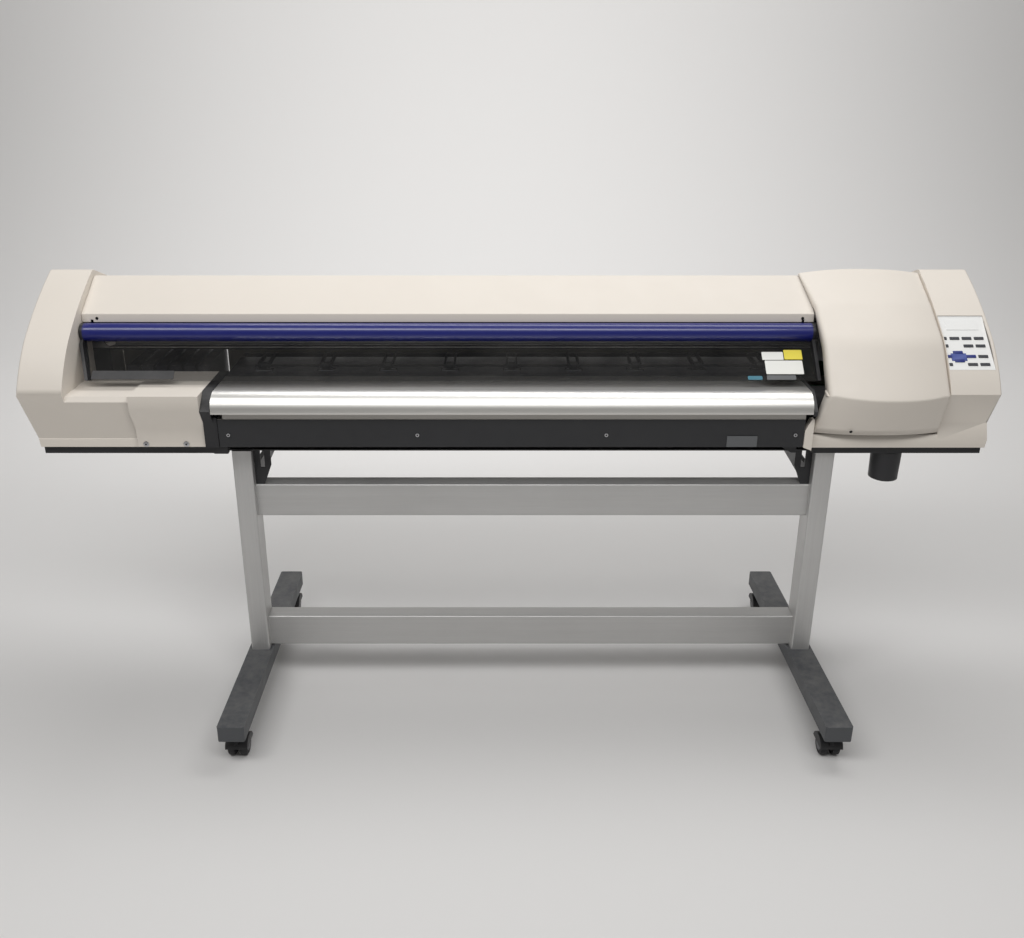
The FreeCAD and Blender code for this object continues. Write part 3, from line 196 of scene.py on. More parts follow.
def grain_group() -> bpy.types.NodeTree:
    """The fine pebbled skin of a moulding, with a slow ripple under it."""
    tree, graph, takes, gives = new_group(
        Effect.GRAIN, [("Scale", "Float", 900.0), ("Ripple", "Float", 0.3)], [("Height", "Float")])
    place = graph.place()
    pebble = graph.add("TexVoronoi", {"Vector": place, "Scale": takes["Scale"]}, feature="SMOOTH_F1")
    speck = graph.noise(place, takes["Scale"], 2.0)
    ripple = graph.noise(place, 9.0, 2.0)
    fine = graph.maths("ADD", graph.maths("MULTIPLY", pebble.outputs[0], 0.6), speck)
    graph.feed(gives["Height"], graph.maths("ADD", fine, graph.maths("MULTIPLY", ripple, takes["Ripple"])))
    return tree


def brush_group() -> bpy.types.NodeTree:
    """Long fine lines drawn along one way of the metal."""
    tree, graph, takes, gives = new_group(
        Effect.BRUSH, [("Stretch", "Vector", (0.012, 1, 1)), ("Scale", "Float", 700.0)],
        [("Lines", "Float"), ("Height", "Float")])
    place = graph.place()
    drawn = graph.add("VectorMath", {0: place, 1: takes["Stretch"]}, operation="MULTIPLY").outputs[0]
    fine = graph.noise(drawn, takes["Scale"], 3.0, Roughness=0.7)
    broad = graph.noise(drawn, 60.0, 3.0)
    graph.feed(gives["Lines"], graph.maths(
        "ADD", graph.maths("MULTIPLY", fine, 0.6), graph.maths("MULTIPLY", broad, 0.4)))
    graph.feed(gives["Height"], fine)
    return tree


def wear_group() -> bpy.types.NodeTree:
    """A broken mask along sharp outer edges, where handling rubs the finish."""
    tree, graph, takes, gives = new_group(
        Effect.WEAR, [("Radius", "Float", 0.002), ("Amount", "Float", 0.5), ("Scale", "Float", 60.0)],
        [("Mask", "Float")])
    place = graph.place()
    rounded = graph.add("Bevel", {"Radius": takes["Radius"]}, samples=4).outputs[0]
    true = graph.add("NewGeometry").outputs["Normal"]
    bend = graph.maths("SUBTRACT", 1.0, graph.add(
        "VectorMath", {0: rounded, 1: true}, operation="DOT_PRODUCT").outputs["Value"])
    broken = graph.noise(place, takes["Scale"], 6.0, Roughness=0.7)
    edge = graph.maths("MULTIPLY", graph.spread(bend, 0.01, 0.12), graph.spread(broken, 0.42, 0.6))
    graph.feed(gives["Mask"], graph.maths("MULTIPLY", edge, takes["Amount"], clamp=True))
    return tree


def dust_group() -> bpy.types.NodeTree:
    """A thin uneven film of dust on whatever faces up."""
    tree, graph, takes, gives = new_group(
        Effect.DUST, [("Amount", "Float", 0.3), ("Scale", "Float", 30.0)], [("Mask", "Float")])
    place = graph.place()
    lift = graph.add("SeparateXYZ", {0: graph.add("NewGeometry").outputs["Normal"]}).outputs["Z"]
    patch = graph.noise(place, takes["Scale"], 8.0, Roughness=0.65)
    film = graph.maths("MULTIPLY", graph.spread(lift, 0.2, 0.95), graph.spread(patch, 0.35, 0.7))
    graph.feed(gives["Mask"], graph.maths("MULTIPLY", film, takes["Amount"], clamp=True))
    return tree


def smudge_group() -> bpy.types.NodeTree:
    """Soft patches where hands have passed, as a share from clean to greasy."""
    tree, graph, takes, gives = new_group(
        Effect.SMUDGE, [("Scale", "Float", 14.0), ("Low", "Float", 0.3), ("High", "Float", 0.5)],
        [("Roughness", "Float")])
    place = graph.place()
    warp = graph.noise(place, takes["Scale"], 4.0, Distortion=1.2)
    graph.feed(gives["Roughness"], graph.spread(warp, 0.3, 0.7, takes["Low"], takes["High"]))
    return tree


GROUP_MAKERS: dict[Effect, Callable[[], bpy.types.NodeTree]] = {
    Effect.TONE: tone_group, Effect.GRAIN: grain_group, Effect.BRUSH: brush_group,
    Effect.WEAR: wear_group, Effect.DUST: dust_group, Effect.SMUDGE: smudge_group,
}


def effect_node(graph: Graph, effect: Effect, **values: Any) -> bpy.types.Node:
    """Place a shared effect in a material.

    Args:
        graph: The material's graph.
        effect: Which effect.
        values: Input values, with underscores for the spaces in their names.

    Returns:
        The group node.
    """
    tree = bpy.data.node_groups.get(effect.value) or GROUP_MAKERS[effect]()
    node = graph.add("Group", node_tree=tree)
    for key, value in values.items():
        graph.feed(node.inputs[key.replace("_", " ")], value)
    return node


@dataclass(frozen=True)
class Finish:
    """A painted or moulded finish, and the base of the others."""

    name: str
    colour: Colour
    second: Colour
    rough: tuple[float, float] = (0.45, 0.6)
    drift: float = 0.5
    drift_scale: float = 3.0
    grain: float = 900.0
    depth: float = 0.00006
    ripple: float = 0.4
    wear: float = 0.0
    worn: Colour = (0.5, 0.5, 0.5)
    wear_radius: float = 0.0015
    dust: float = 0.12
    dust_colour: Colour = (0.62, 0.59, 0.54)
    coat: float = 0.0
    metal: float = 0.0
    specular: float = 0.5

    def material(self) -> bpy.types.Material:
        """Return this finish's material, built the first time that it is asked for."""
        made = bpy.data.materials.get(self.name)
        if made is None:
            made = bpy.data.materials.new(self.name)
            made.use_nodes = True
            graph = Graph(made.node_tree)
            shader = made.node_tree.nodes["Principled BSDF"]
            shader.inputs["Metallic"].default_value = self.metal
            shader.inputs["Coat Weight"].default_value = self.coat
            shader.inputs["Coat Roughness"].default_value = 0.08
            shader.inputs["Specular IOR Level"].default_value = self.specular
            self.dress(graph, shader)
        return made

    def dress(self, graph: Graph, shader: bpy.types.Node) -> None:
        """Feed the shader's colour, roughness and normal."""
        graph.feed(shader.inputs["Base Color"], self.aged(graph, self.base(graph)))
        rough = effect_node(graph, Effect.SMUDGE, Low=self.rough[0], High=self.rough[1])
        graph.feed(shader.inputs["Roughness"], rough.outputs[0])
        skin = effect_node(graph, Effect.GRAIN, Scale=self.grain, Ripple=self.ripple)
        bump = graph.add("Bump", {"Height": skin.outputs[0], "Distance": self.depth, "Strength": 1.0})
        graph.feed(shader.inputs["Normal"], bump.outputs[0])

    def base(self, graph: Graph) -> bpy.types.NodeSocket:
        """Return the clean colour with its slow drift."""
        tone = effect_node(graph, Effect.TONE, Colour=self.colour, Second_tone=self.second,
                           Scale=self.drift_scale, Amount=self.drift)
        return tone.outputs[0]

    def aged(self, graph: Graph, colour: bpy.types.NodeSocket) -> bpy.types.NodeSocket:
        """Return the colour with worn edges and dust over it."""
        if self.wear:
            mask = effect_node(graph, Effect.WEAR, Radius=self.wear_radius, Amount=self.wear)
            colour = graph.mixed(mask.outputs[0], colour, self.worn)
        if self.dust:
            mask = effect_node(graph, Effect.DUST, Amount=self.dust)
            colour = graph.mixed(mask.outputs[0], colour, self.dust_colour)
        return colour


@dataclass(frozen=True)
class BrushedMetal(Finish):
    """Drawn or rolled bare metal with lines along its length."""

    along: Along = Along.X
    lines: float = 700.0
    contrast: float = 0.5

    def dress(self, graph: Graph, shader: bpy.types.Node) -> None:
        """Feed the shader with streaked colour, streaked roughness and fine lines."""
        drawn = effect_node(graph, Effect.BRUSH, Stretch=self.along.value, Scale=self.lines)
        streak = graph.maths("MULTIPLY", graph.spread(drawn.outputs["Lines"], 0.35, 0.65), self.contrast)
        colour = graph.mixed(streak, self.base(graph), self.second)
        graph.feed(shader.inputs["Base Color"], self.aged(graph, colour))
        graph.feed(shader.inputs["Roughness"], graph.spread(
            drawn.outputs["Lines"], 0.3, 0.7, self.rough[0], self.rough[1]))
        bump = graph.add("Bump", {"Height": drawn.outputs["Height"], "Distance": self.depth})
        graph.feed(shader.inputs["Normal"], bump.outputs[0])


@dataclass(frozen=True)
class SmokedAcrylic(Finish):
    """Dark see-through sheet, hazed a little where dust and hands have left a film."""

    clear: float = 0.72

    def dress(self, graph: Graph, shader: bpy.types.Node) -> None:
        """Feed the sheet's tint, its gloss and how much of it is see-through."""
        film = effect_node(graph, Effect.DUST, Amount=self.dust, Scale=9.0)
        colour = graph.mixed(film.outputs[0], self.base(graph), self.dust_colour)
        graph.feed(shader.inputs["Base Color"], colour)
        gloss = effect_node(graph, Effect.SMUDGE, Low=self.rough[0], High=self.rough[1], Scale=7.0)
        graph.feed(shader.inputs["Roughness"], gloss.outputs[0])
        haze = graph.maths("MULTIPLY", film.outputs[0], 0.4)
        graph.feed(shader.inputs["Alpha"], graph.maths("ADD", haze, 1.0 - self.clear, clamp=True))


CREAM = Finish("cream cover moulding", (0.75, 0.695, 0.625), (0.715, 0.66, 0.59), rough=(0.46, 0.58),
               dust=0.06)
DARK_TRIM = Finish("black moulding", (0.014, 0.014, 0.016), (0.024, 0.024, 0.026), rough=(0.38, 0.52),
                   dust=0.06)
CHARCOAL = Finish("charcoal powder coat", (0.019, 0.0195, 0.0215), (0.025, 0.0255, 0.028), rough=(0.42, 0.55),
                  grain=1400.0, depth=0.00005, wear=0.45, worn=(0.15, 0.15, 0.155), dust=0.08)
SLATE = Finish("slate foot paint", (0.07, 0.074, 0.08), (0.058, 0.062, 0.068), rough=(0.4, 0.52),
               grain=1200.0, depth=0.00005, wear=0.5, worn=(0.26, 0.26, 0.27), dust=0.12)
BAR_BLUE = Finish("royal blue gloss", (0.007, 0.012, 0.155), (0.006, 0.010, 0.13), rough=(0.3, 0.38),
                  depth=0.000005, ripple=0.0, coat=0.35, dust=0.02)
SMOKE = SmokedAcrylic("smoked acrylic", (0.012, 0.0125, 0.0135), (0.016, 0.0165, 0.0175), rough=(0.03, 0.07),
                      dust=0.08, specular=0.35)
SILVER = BrushedMetal("silver apron", (0.93, 0.915, 0.88), (0.84, 0.825, 0.79), rough=(0.36, 0.46), metal=1.0,
                      lines=900.0, depth=0.00001, contrast=0.3, dust=0.04)
STRIP_METAL = BrushedMetal("satin strip metal", (0.5, 0.48, 0.45), (0.42, 0.405, 0.38), rough=(0.4, 0.5),
                           metal=0.8, depth=0.00001, dust=0.05)
ALU_X = BrushedMetal("satin aluminium beams", (0.6, 0.595, 0.585), (0.5, 0.495, 0.487), rough=(0.4, 0.55),
                     metal=0.7, depth=0.00002, dust=0.06)
ALU_Z = BrushedMetal("satin aluminium legs", (0.62, 0.615, 0.605), (0.52, 0.515, 0.507), rough=(0.4, 0.55),
                     metal=0.7, along=Along.Z, depth=0.00002, dust=0.06)
STEEL = BrushedMetal("bright fastener steel", (0.7, 0.7, 0.71), (0.5, 0.5, 0.52), rough=(0.22, 0.36),
                     metal=1.0, depth=0.00001, dust=0.0)
ZINC = BrushedMetal("zinc plated sheet", (0.5, 0.5, 0.49), (0.4, 0.4, 0.4), rough=(0.38, 0.52), metal=0.8,
                    depth=0.00001)
PLATEN_DARK = Finish("dark anodised bed", (0.025, 0.025, 0.029), (0.04, 0.04, 0.045), rough=(0.35, 0.5),
                     depth=0.00002, dust=0.08)
RUBBER = Finish("black rubber", (0.012, 0.012, 0.013), (0.02, 0.02, 0.021), rough=(0.62, 0.78), grain=600.0,
                dust=0.18)
GREY_CASE = Finish("grey case moulding", (0.17, 0.17, 0.18), (0.14, 0.14, 0.15))
PANEL_FILM = Finish("white membrane film", (0.86, 0.86, 0.845), (0.82, 0.82, 0.81), rough=(0.3, 0.4),
                    grain=1500.0, depth=0.00001, ripple=0.1, dust=0.02)
DISPLAY = Finish("faint display window", (0.74, 0.76, 0.72), (0.7, 0.72, 0.68), rough=(0.12, 0.2), dust=0.0,
                 coat=0.4)
KEY_GREY = Finish("dark grey key", (0.045, 0.047, 0.056), (0.055, 0.057, 0.065), rough=(0.4, 0.5), dust=0.02)
KEY_BLUE = Finish("blue cursor key", (0.02, 0.035, 0.2), (0.02, 0.03, 0.17), rough=(0.35, 0.45), dust=0.02)
KEY_PALE = Finish("pale blue key middle", (0.07, 0.1, 0.33), (0.06, 0.085, 0.29), rough=(0.35, 0.45),
                  dust=0.02)
BOARD = Finish("green circuit board", (0.02, 0.12, 0.05), (0.02, 0.09, 0.04), rough=(0.3, 0.45))
INK = Finish("ink cartridge plastic", (0.05, 0.05, 0.06), (0.07, 0.07, 0.08))
PLATE_GREY = Finish("dark grey plate", (0.032, 0.032, 0.034), (0.042, 0.042, 0.044), rough=(0.3, 0.42),
                    dust=0.05)
CARD_WHITE = Finish("white label", (0.82, 0.82, 0.78), (0.77, 0.77, 0.72), rough=(0.4, 0.5), dust=0.04)
CARD_YELLOW = Finish("yellow label", (0.82, 0.7, 0.06), (0.76, 0.63, 0.05), rough=(0.4, 0.5), dust=0.04)
CARD_GREY = Finish("grey label", (0.12, 0.125, 0.13), (0.1, 0.105, 0.11), rough=(0.4, 0.5), dust=0.04)
CARD_TEAL = Finish("teal label", (0.05, 0.2, 0.27), (0.04, 0.16, 0.22), rough=(0.35, 0.45), dust=0.04)
# Painted shade: a near-black matte colour laid on small discs where sockets and holes are dark only because
# light does not reach inside them.
HOLE_SHADE = Finish("painted hole shade", (0.004, 0.004, 0.004), (0.006, 0.006, 0.006), rough=(0.8, 0.9), dust=0.0)

NODE_FINISH: dict[str, Finish] = {
    "apron": SILVER, "apron_ends": DARK_TRIM, "blade_holder": STEEL, "capping_station": GREY_CASE,
    "carriage_hood": CREAM, "chassis": CHARCOAL, "control_panel": PANEL_FILM, "cover_end_caps": DARK_TRIM,
    "cover_grip_bar": BAR_BLUE, "cover_window": SMOKE, "cursor_cross_key": KEY_BLUE,
    "drain_bottle": DARK_TRIM,
    "drive_belt": RUBBER, "drive_pulley": STEEL, "electronics": BOARD, "front_rail": CHARCOAL,
    "grit_rollers": STEEL, "guide_rail": ZINC, "idler_pulley": STEEL, "ink_cartridges": INK,
    "left_end_cover": CREAM, "left_foot": SLATE, "left_leg": ALU_Z, "left_service_cover": CREAM,
    "loading_lever": DARK_TRIM, "lower_crossbeam": ALU_X, "media_roll_shaft": ALU_X, "motors": GREY_CASE,
    "pinch_arms": CHARCOAL, "pinch_rollers": RUBBER, "platen": PLATEN_DARK, "print_carriage": GREY_CASE,
    "rear_cover": CREAM, "right_end_cover": CREAM, "right_foot": SLATE, "right_leg": ALU_Z, "screws": STEEL,
    "stand_brackets": DARK_TRIM, "tool_carriage": GREY_CASE, "top_cover": CREAM, "upper_crossbeam": ALU_X,
}
NODE_FINISH.update({name: KEY_GREY for name in KEY_NAMES})
NODE_FINISH.update({name + "_fork": DARK_TRIM for name in CASTER_NAMES})
NODE_FINISH.update({name + "_wheels": RUBBER for name in CASTER_NAMES})


@dataclass
class Camera:
    """The standing view of the machine's front."""

    place: Spot = (-0.030, -2.242, 1.595)
    tilt_deg: float = 20.56
    lens: float = 33.87
    sensor: float = 36.0
    shift: tuple[float, float] = (16 / 1024, -49 / 1024)

    def build(self) -> None:
        """Make the camera and set it as the scene's."""
        data = bpy.data.cameras.new("standing_view")
        data.lens, data.sensor_width = self.lens, self.sensor
        data.shift_x, data.shift_y = self.shift
        camera = bpy.data.objects.new("standing_view", data)
        camera.location = self.place
        camera.rotation_euler = (math.radians(90 - self.tilt_deg), 0.0, 0.0)
        bpy.context.scene.collection.objects.link(camera)
        bpy.context.scene.camera = camera


class Lamp(NamedTuple):
    """A rectangular area light: where it hangs, what it faces, its two sides and its power."""

    name: str
    place: Spot
    target: Spot
    size: tuple[float, float]
    power: float


@dataclass
class Studio:
    """A plain pale floor that curves up behind the machine, soft lights and an even sky."""

    floor_colour: Colour = (0.74, 0.73, 0.72)
    floor_size: float = 24.0
    sweep_start: float = 3.0
    sweep_radius: float = 3.0
    sweep_steps: int = 16
    wall_height: float = 8.0
    sky_colour: tuple[float, ...] = (1.0, 0.985, 0.965, 1.0)
    sky_strength: float = 0.17
    lamps: list[Lamp] = field(default_factory=lambda: [
        Lamp("ceiling_soft_light", (-0.4, -1.9, 3.3), (0.0, -0.1, 0.9), (4.2, 0.9), 78.0),
        Lamp("overhead_light", (0.3, 0.9, 3.4), (0.0, 0.2, 0.9), (4.0, 0.8), 46.0),
        Lamp("backdrop_light", (0.0, 2.0, 3.6), (0.0, 5.5, 1.6), (6.0, 0.8), 150.0),
    ])

    def build(self) -> None:
        """Make the floor, the area lights and the even sky."""
        self.lay_floor()
        for lamp in self.lamps:
            self.hang(lamp)
        world = bpy.data.worlds.new("even sky")
        world.use_nodes = True
        sky = world.node_tree.nodes["Background"]
        sky.inputs["Color"].default_value = self.sky_colour
        sky.inputs["Strength"].default_value = self.sky_strength
        bpy.context.scene.world = world
        bpy.context.scene.view_settings.view_transform = "Standard"

    def lay_floor(self) -> None:
        """Make the floor as one sheet that sweeps up into a wall."""
        half = self.floor_size / 2
        profile = [(-half, 0.0), (self.sweep_start, 0.0)]
        for step in range(1, self.sweep_steps + 1):
            turn = math.radians(90 * step / self.sweep_steps)
            profile.append((self.sweep_start + self.sweep_radius * math.sin(turn),
                            self.sweep_radius * (1 - math.cos(turn))))
        profile.append((self.sweep_start + self.sweep_radius, self.wall_height))
        points = [(x, y, z) for y, z in profile for x in (-half, half)]
        faces = [(row, row + 1, row + 3, row + 2) for row in range(0, len(points) - 2, 2)]
        mesh = bpy.data.meshes.new("studio_floor")
        mesh.from_pydata(points, [], faces)
        mesh.shade_smooth()
        floor = bpy.data.objects.new("studio_floor", mesh)
        bpy.context.scene.collection.objects.link(floor)
        mesh.materials.append(Finish("pale studio floor", self.floor_colour, self.floor_colour,
                                     rough=(0.7, 0.85), dust=0.0, depth=0.00001).material())

    def hang(self, lamp: Lamp) -> None:
        """Hang one area light and turn it to what it faces."""
        data = bpy.data.lights.new(lamp.name, "AREA")
        data.shape, data.size, data.size_y, data.energy = "RECTANGLE", lamp.size[0], lamp.size[1], lamp.power
        light = bpy.data.objects.new(lamp.name, data)
        light.location = lamp.place
        light.rotation_euler = (Vector(lamp.target) - Vector(lamp.place)).to_track_quat("-Z", "Y").to_euler()
        bpy.context.scene.collection.objects.link(light)


def new_piece(name: str, mesh: bmesh.types.BMesh, finishes: Sequence[Finish], body: str,
              crease_deg: float = 40.0) -> bpy.types.Object:
    """Turn an edited mesh into a finished piece that rides on a body.

    Args:
        name: The piece's name.
        mesh: Its mesh, which is freed.
        finishes: Its finishes, in the order of its faces' material numbers.
        body: The body that carries it.
        crease_deg: Edges that bend by more than this stay sharp in the shading.

    Returns:
        The piece.
    """
    bmesh.ops.recalc_face_normals(mesh, faces=mesh.faces)
    data = bpy.data.meshes.new(name)
    mesh.to_mesh(data)
    mesh.free()
    for finish in finishes:
        data.materials.append(finish.material())
    data.shade_smooth()
    data.set_sharp_from_angle(angle=math.radians(crease_deg))
    piece = bpy.data.objects.new(name, data)
    bpy.context.scene.collection.objects.link(piece)
    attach(piece, body)
    return piece


def welded_mesh(node: str) -> bmesh.types.BMesh:
    """Copy a sub-part's mesh with its doubled corners joined."""
    mesh = bmesh.new()
    mesh.from_mesh(frame["nodes"][node].data)
    bmesh.ops.remove_doubles(mesh, verts=mesh.verts, dist=WELD_DISTANCE)
    return mesh


def clean_mesh(node: str) -> bmesh.types.BMesh:
    """Copy a sub-part's mesh with its doubled corners joined and its flat faces whole."""
    mesh = welded_mesh(node)
    bmesh.ops.dissolve_limit(mesh, angle_limit=FLAT_BEND, verts=mesh.verts, edges=mesh.edges)
    return mesh


def loose_boxes(node: str) -> list[tuple[Vector, Vector]]:
    """The lowest and highest corners of each separate solid of a sub-part, in order along X."""
    mesh = welded_mesh(node)
    waiting, boxes = set(mesh.verts), []
    while waiting:
        group, front = set(), [waiting.pop()]
        while front:
            vert = front.pop()
            group.add(vert)
            for edge in vert.link_edges:
                other = edge.other_vert(vert)
                if other in waiting:
                    waiting.remove(other)
                    front.append(other)
        spots = [vert.co for vert in group]
        boxes.append((Vector([min(spot[axis] for spot in spots) for axis in range(3)]),
                      Vector([max(spot[axis] for spot in spots) for axis in range(3)])))
    mesh.free()
    return sorted(boxes, key=lambda box: box[0].x)


def sharp_edges(mesh: bmesh.types.BMesh, angle_deg: float = CREASE_DEG) -> list[bmesh.types.BMEdge]:
    """The edges of a closed mesh that bend by more than an angle."""
    return [edge for edge in mesh.edges
            if edge.is_manifold and edge.calc_face_angle(0.0) > math.radians(angle_deg)]


def rounded(mesh: bmesh.types.BMesh, edges: list[bmesh.types.BMEdge], radius: float, steps: int = 3) -> None:
    """Round a mesh's edges to a radius, or less where they have no room."""
    bmesh.ops.bevel(mesh, geom=edges, offset=radius, offset_type="OFFSET", segments=steps, profile=0.5,
                    affect="EDGES", clamp_overlap=True)


def join_rings(mesh: bmesh.types.BMesh, rings: Sequence[Sequence[bmesh.types.BMVert]]) -> None:
    """Join rings of corners into one skin, with a flat cap at each end."""
    count = len(rings[0])
    for low, high in zip(rings, rings[1:]):
        for index in range(count):
            following = (index + 1) % count
            mesh.faces.new((low[index], low[following], high[following], high[index]))
    mesh.faces.new(rings[-1])
    mesh.faces.new(list(reversed(rings[0])))


@dataclass
class SoftShell:
    """A sub-part's own surface with its sharp edges rounded."""

    node: str
    radius: float
    finish: Finish
    outer: Callable[[Vector], bool] | None = None
    outer_radius: float = 0.0
    outer_bend_deg: float = 26.0
    outer_steps: int = 4

    def build(self) -> bpy.types.Object:
        """Copy the sub-part, round its edges and let it stand for the plain one.

        Returns:
            The new piece.
        """
        source = frame["nodes"][self.node]
        mesh = clean_mesh(self.node)
        if self.outer is not None:
            rounded(mesh, [edge for edge in sharp_edges(mesh, self.outer_bend_deg)
                           if all(self.outer(vert.co) for vert in edge.verts)],
                    self.outer_radius, self.outer_steps)
        rounded(mesh, sharp_edges(mesh), self.radius)
        piece = new_piece(self.node + "_soft", mesh, [self.finish], source["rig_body"])
        piece.modifiers.new("even normals", "WEIGHTED_NORMAL").keep_sharp = True
        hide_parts(self.node)
        return piece


class HoodCorner(NamedTuple):
    """A corner of the hood's slice, with how the hood swells and how its flanks fall away there."""

    y: float
    z: float
    forward: float
    upward: float
    left: float
    radius: float
    depth: float
    flank: float


@dataclass
class CarriageHood:
    """The pillowed hood over the carriage dock, with rounded flanks, a lower spur and a top lap."""

    right: float = 1.0352
    bulge: float = 0.032
    rise: float = 0.014
    edge_fullness: float = 0.25
    wall: float = 0.003
    across: int = 26
    straight_steps: int = 6
    corner_steps: int = 7
    flank_steps: int = 4
    swell_power: float = 2.2
    corner_share: float = 0.45
    shading_deg: float = 60.0
    corners: tuple[HoodCorner, ...] = (
        HoodCorner(-0.0740, 0.7522, 0.80, 0.0, 0.7312, 0.000, 0.011, 0.007),
        HoodCorner(-0.1100, 0.8580, 1.00, -0.43, 0.7520, 0.007, 0.034, 0.012),
        HoodCorner(-0.0300, 0.9660, 0.75, 0.29, 0.7520, 0.140, 0.028, 0.011),
        HoodCorner(0.0600, 1.0300, 0.40, 0.80, 0.7500, 0.160, 0.016, 0.010),
        HoodCorner(0.1640, 1.0860, 0.00, 1.0, 0.7335, 0.006, 0.0045, 0.004),
        HoodCorner(0.1715, 1.0815, 0.00, 1.0, 0.7335, 0.000, 0.0030, 0.0025),
    )

    def path(self, fullness: float) -> list[tuple[float, ...]]:
        """Sample one slice of the hood with its corners rounded.

        Args:
            fullness: 0 where the hood is flattest, 1 at its middle.

        Returns:
            Points as (y, z, left end, flank depth, flank rounding).
        """
        stops = [Vector((corner.y - self.bulge * corner.forward * fullness,
                         corner.z + self.rise * corner.upward * fullness, corner.left))
                 for corner in self.corners]
        flanks = [Vector((corner.depth, corner.flank)) for corner in self.corners]
        points: list[tuple[float, ...]] = []

        def lay(start: Vector, end: Vector, first: Vector, last: Vector) -> None:
            for step in range(self.straight_steps):
                share = step / self.straight_steps
                points.append((*start.lerp(end, share), *first.lerp(last, share)))

        cursor, flank = stops[0], flanks[0]
        for index in range(1, len(stops)):
            here, radius = stops[index], self.corners[index].radius
            if radius == 0.0:
                lay(cursor, here, flank, flanks[index])
                points.append((*here, *flanks[index]))
                break
            back, ahead = stops[index - 1] - here, stops[index + 1] - here
            opening = Vector(back[:2]).angle(Vector(ahead[:2]))
            reach = min(radius / math.tan(opening / 2), self.corner_share * back.length,
                        self.corner_share * ahead.length)
            begin, finish = here + back.normalized() * reach, here + ahead.normalized() * reach
            lay(cursor, begin, flank, flanks[index])
            for step in range(self.corner_steps):
                share = step / self.corner_steps
                middle = begin.lerp(here, share).lerp(here.lerp(finish, share), share)
                points.append((*middle, *flanks[index]))
            cursor, flank = finish, flanks[index]
        return points

    def build(self) -> bpy.types.Object:
        """Build the hood as one rounded shell that stands for the plain one.

        Returns:
            The hood.
        """
        mesh = bmesh.new()
        rows = len(self.path(0.0))
        turns = [math.radians(90 - 90 / self.flank_steps * step) for step in range(self.flank_steps)]
        grid: list[list[bmesh.types.BMVert]] = []
        columns: list[tuple[float, float | None]] = [(0.0, None)] + [(0.0, turn) for turn in turns]
        columns += [(step / self.across, 0.0) for step in range(self.across + 1)]
        columns += [(1.0, turn) for turn in reversed(turns)] + [(1.0, None)]
        for share, turn in columns:
            swell = 1 - abs(2 * share - 1) ** self.swell_power
            fullness = self.edge_fullness + (1 - self.edge_fullness) * swell
            path = self.path(fullness)
            line = []
            for row in range(rows):
                y, z, left, depth, radius = path[row]
                ahead, behind = path[min(row + 1, rows - 1)], path[max(row - 1, 0)]
                way = Vector((ahead[0] - behind[0], ahead[1] - behind[1])).normalized()
                inward = Vector((way.y, -way.x))
                sink = depth if turn is None else radius * (1 - math.cos(turn))
                side = 0.0 if turn is None else radius * (1 - math.sin(turn))
                low, high = left + radius, self.right - radius
                x = low + (high - low) * share if turn == 0.0 else (
                    left + side if share == 0.0 else self.right - side)
                line.append(mesh.verts.new((x, y + inward.x * sink, z + inward.y * sink)))
            grid.append(line)
        for first, second in zip(grid, grid[1:]):
            for row in range(rows - 1):
                mesh.faces.new((first[row], second[row], second[row + 1], first[row + 1]))
        hood = new_piece("carriage_hood_shell", mesh, [CREAM], "carriage_hood", self.shading_deg)
        skin = hood.modifiers.new("wall", "SOLIDIFY")
        skin.thickness, skin.offset = self.wall, -1.0
        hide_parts("carriage_hood")
        return hood


@dataclass
class Card:
    """A thin flat label, plate or pad with softly rounded corners."""

    name: str
    middle: Spot
    across: Spot
    along: Spot
    size: tuple[float, float]
    finish: Finish
    body: str
    thick: float = 0.0006
    corner: float = 0.002
    lift: float = 0.0001
    corner_steps: int = 4
    rim_share: float = 0.6

    def build(self) -> bpy.types.Object:
        """Build the card lying on the surface through its middle.

        Returns:
            The card.
        """
        across, along = Vector(self.across).normalized(), Vector(self.along).normalized()
        out = across.cross(along).normalized()
        mesh = bmesh.new()
        half_wide, half_high = self.size[0] / 2 - self.corner, self.size[1] / 2 - self.corner
        outline = []
        for turn, (side, rise) in enumerate(((1, 1), (-1, 1), (-1, -1), (1, -1))):
            for step in range(self.corner_steps + 1):
                angle = math.radians(90 * turn + 90 / self.corner_steps * step)
                outline.append((side * half_wide + self.corner * math.cos(angle),
                                rise * half_high + self.corner * math.sin(angle)))
        rings = []
        for height, shrink in ((self.lift, 0.0), (self.lift + self.thick * self.rim_share, 0.0),
                               (self.lift + self.thick, self.thick * (1 - self.rim_share))):
            ring = []
            for x, y in outline:
                reach = math.hypot(x, y)
                scale = (reach - shrink) / reach
                ring.append(mesh.verts.new(Vector(self.middle) + across * x * scale + along * y * scale
                                           + out * height))
            rings.append(ring)
        join_rings(mesh, rings)
        return new_piece(self.name, mesh, [self.finish], self.body, 30.0)


@dataclass
class Turned:
    """A small part turned about an axis, such as a screw head or a hub."""

    name: str
    middle: Spot
    axis: Spot
    profile: Ring
    finish: Finish
    body: str
    sides: int = 32

    def build(self) -> bpy.types.Object:
        """Turn the profile of (radius, height) pairs about the axis.

        Returns:
            The turned part.
        """
        axis = Vector(self.axis).normalized()
        first = axis.orthogonal().normalized()
        second = axis.cross(first)
        mesh = bmesh.new()
        angles = [math.tau * step / self.sides for step in range(self.sides)]
        join_rings(mesh, [[mesh.verts.new(Vector(self.middle) + axis * height + (
            first * math.cos(angle) + second * math.sin(angle)) * radius) for angle in angles]
            for radius, height in self.profile])
        return new_piece(self.name, mesh, [self.finish], self.body, 35.0)


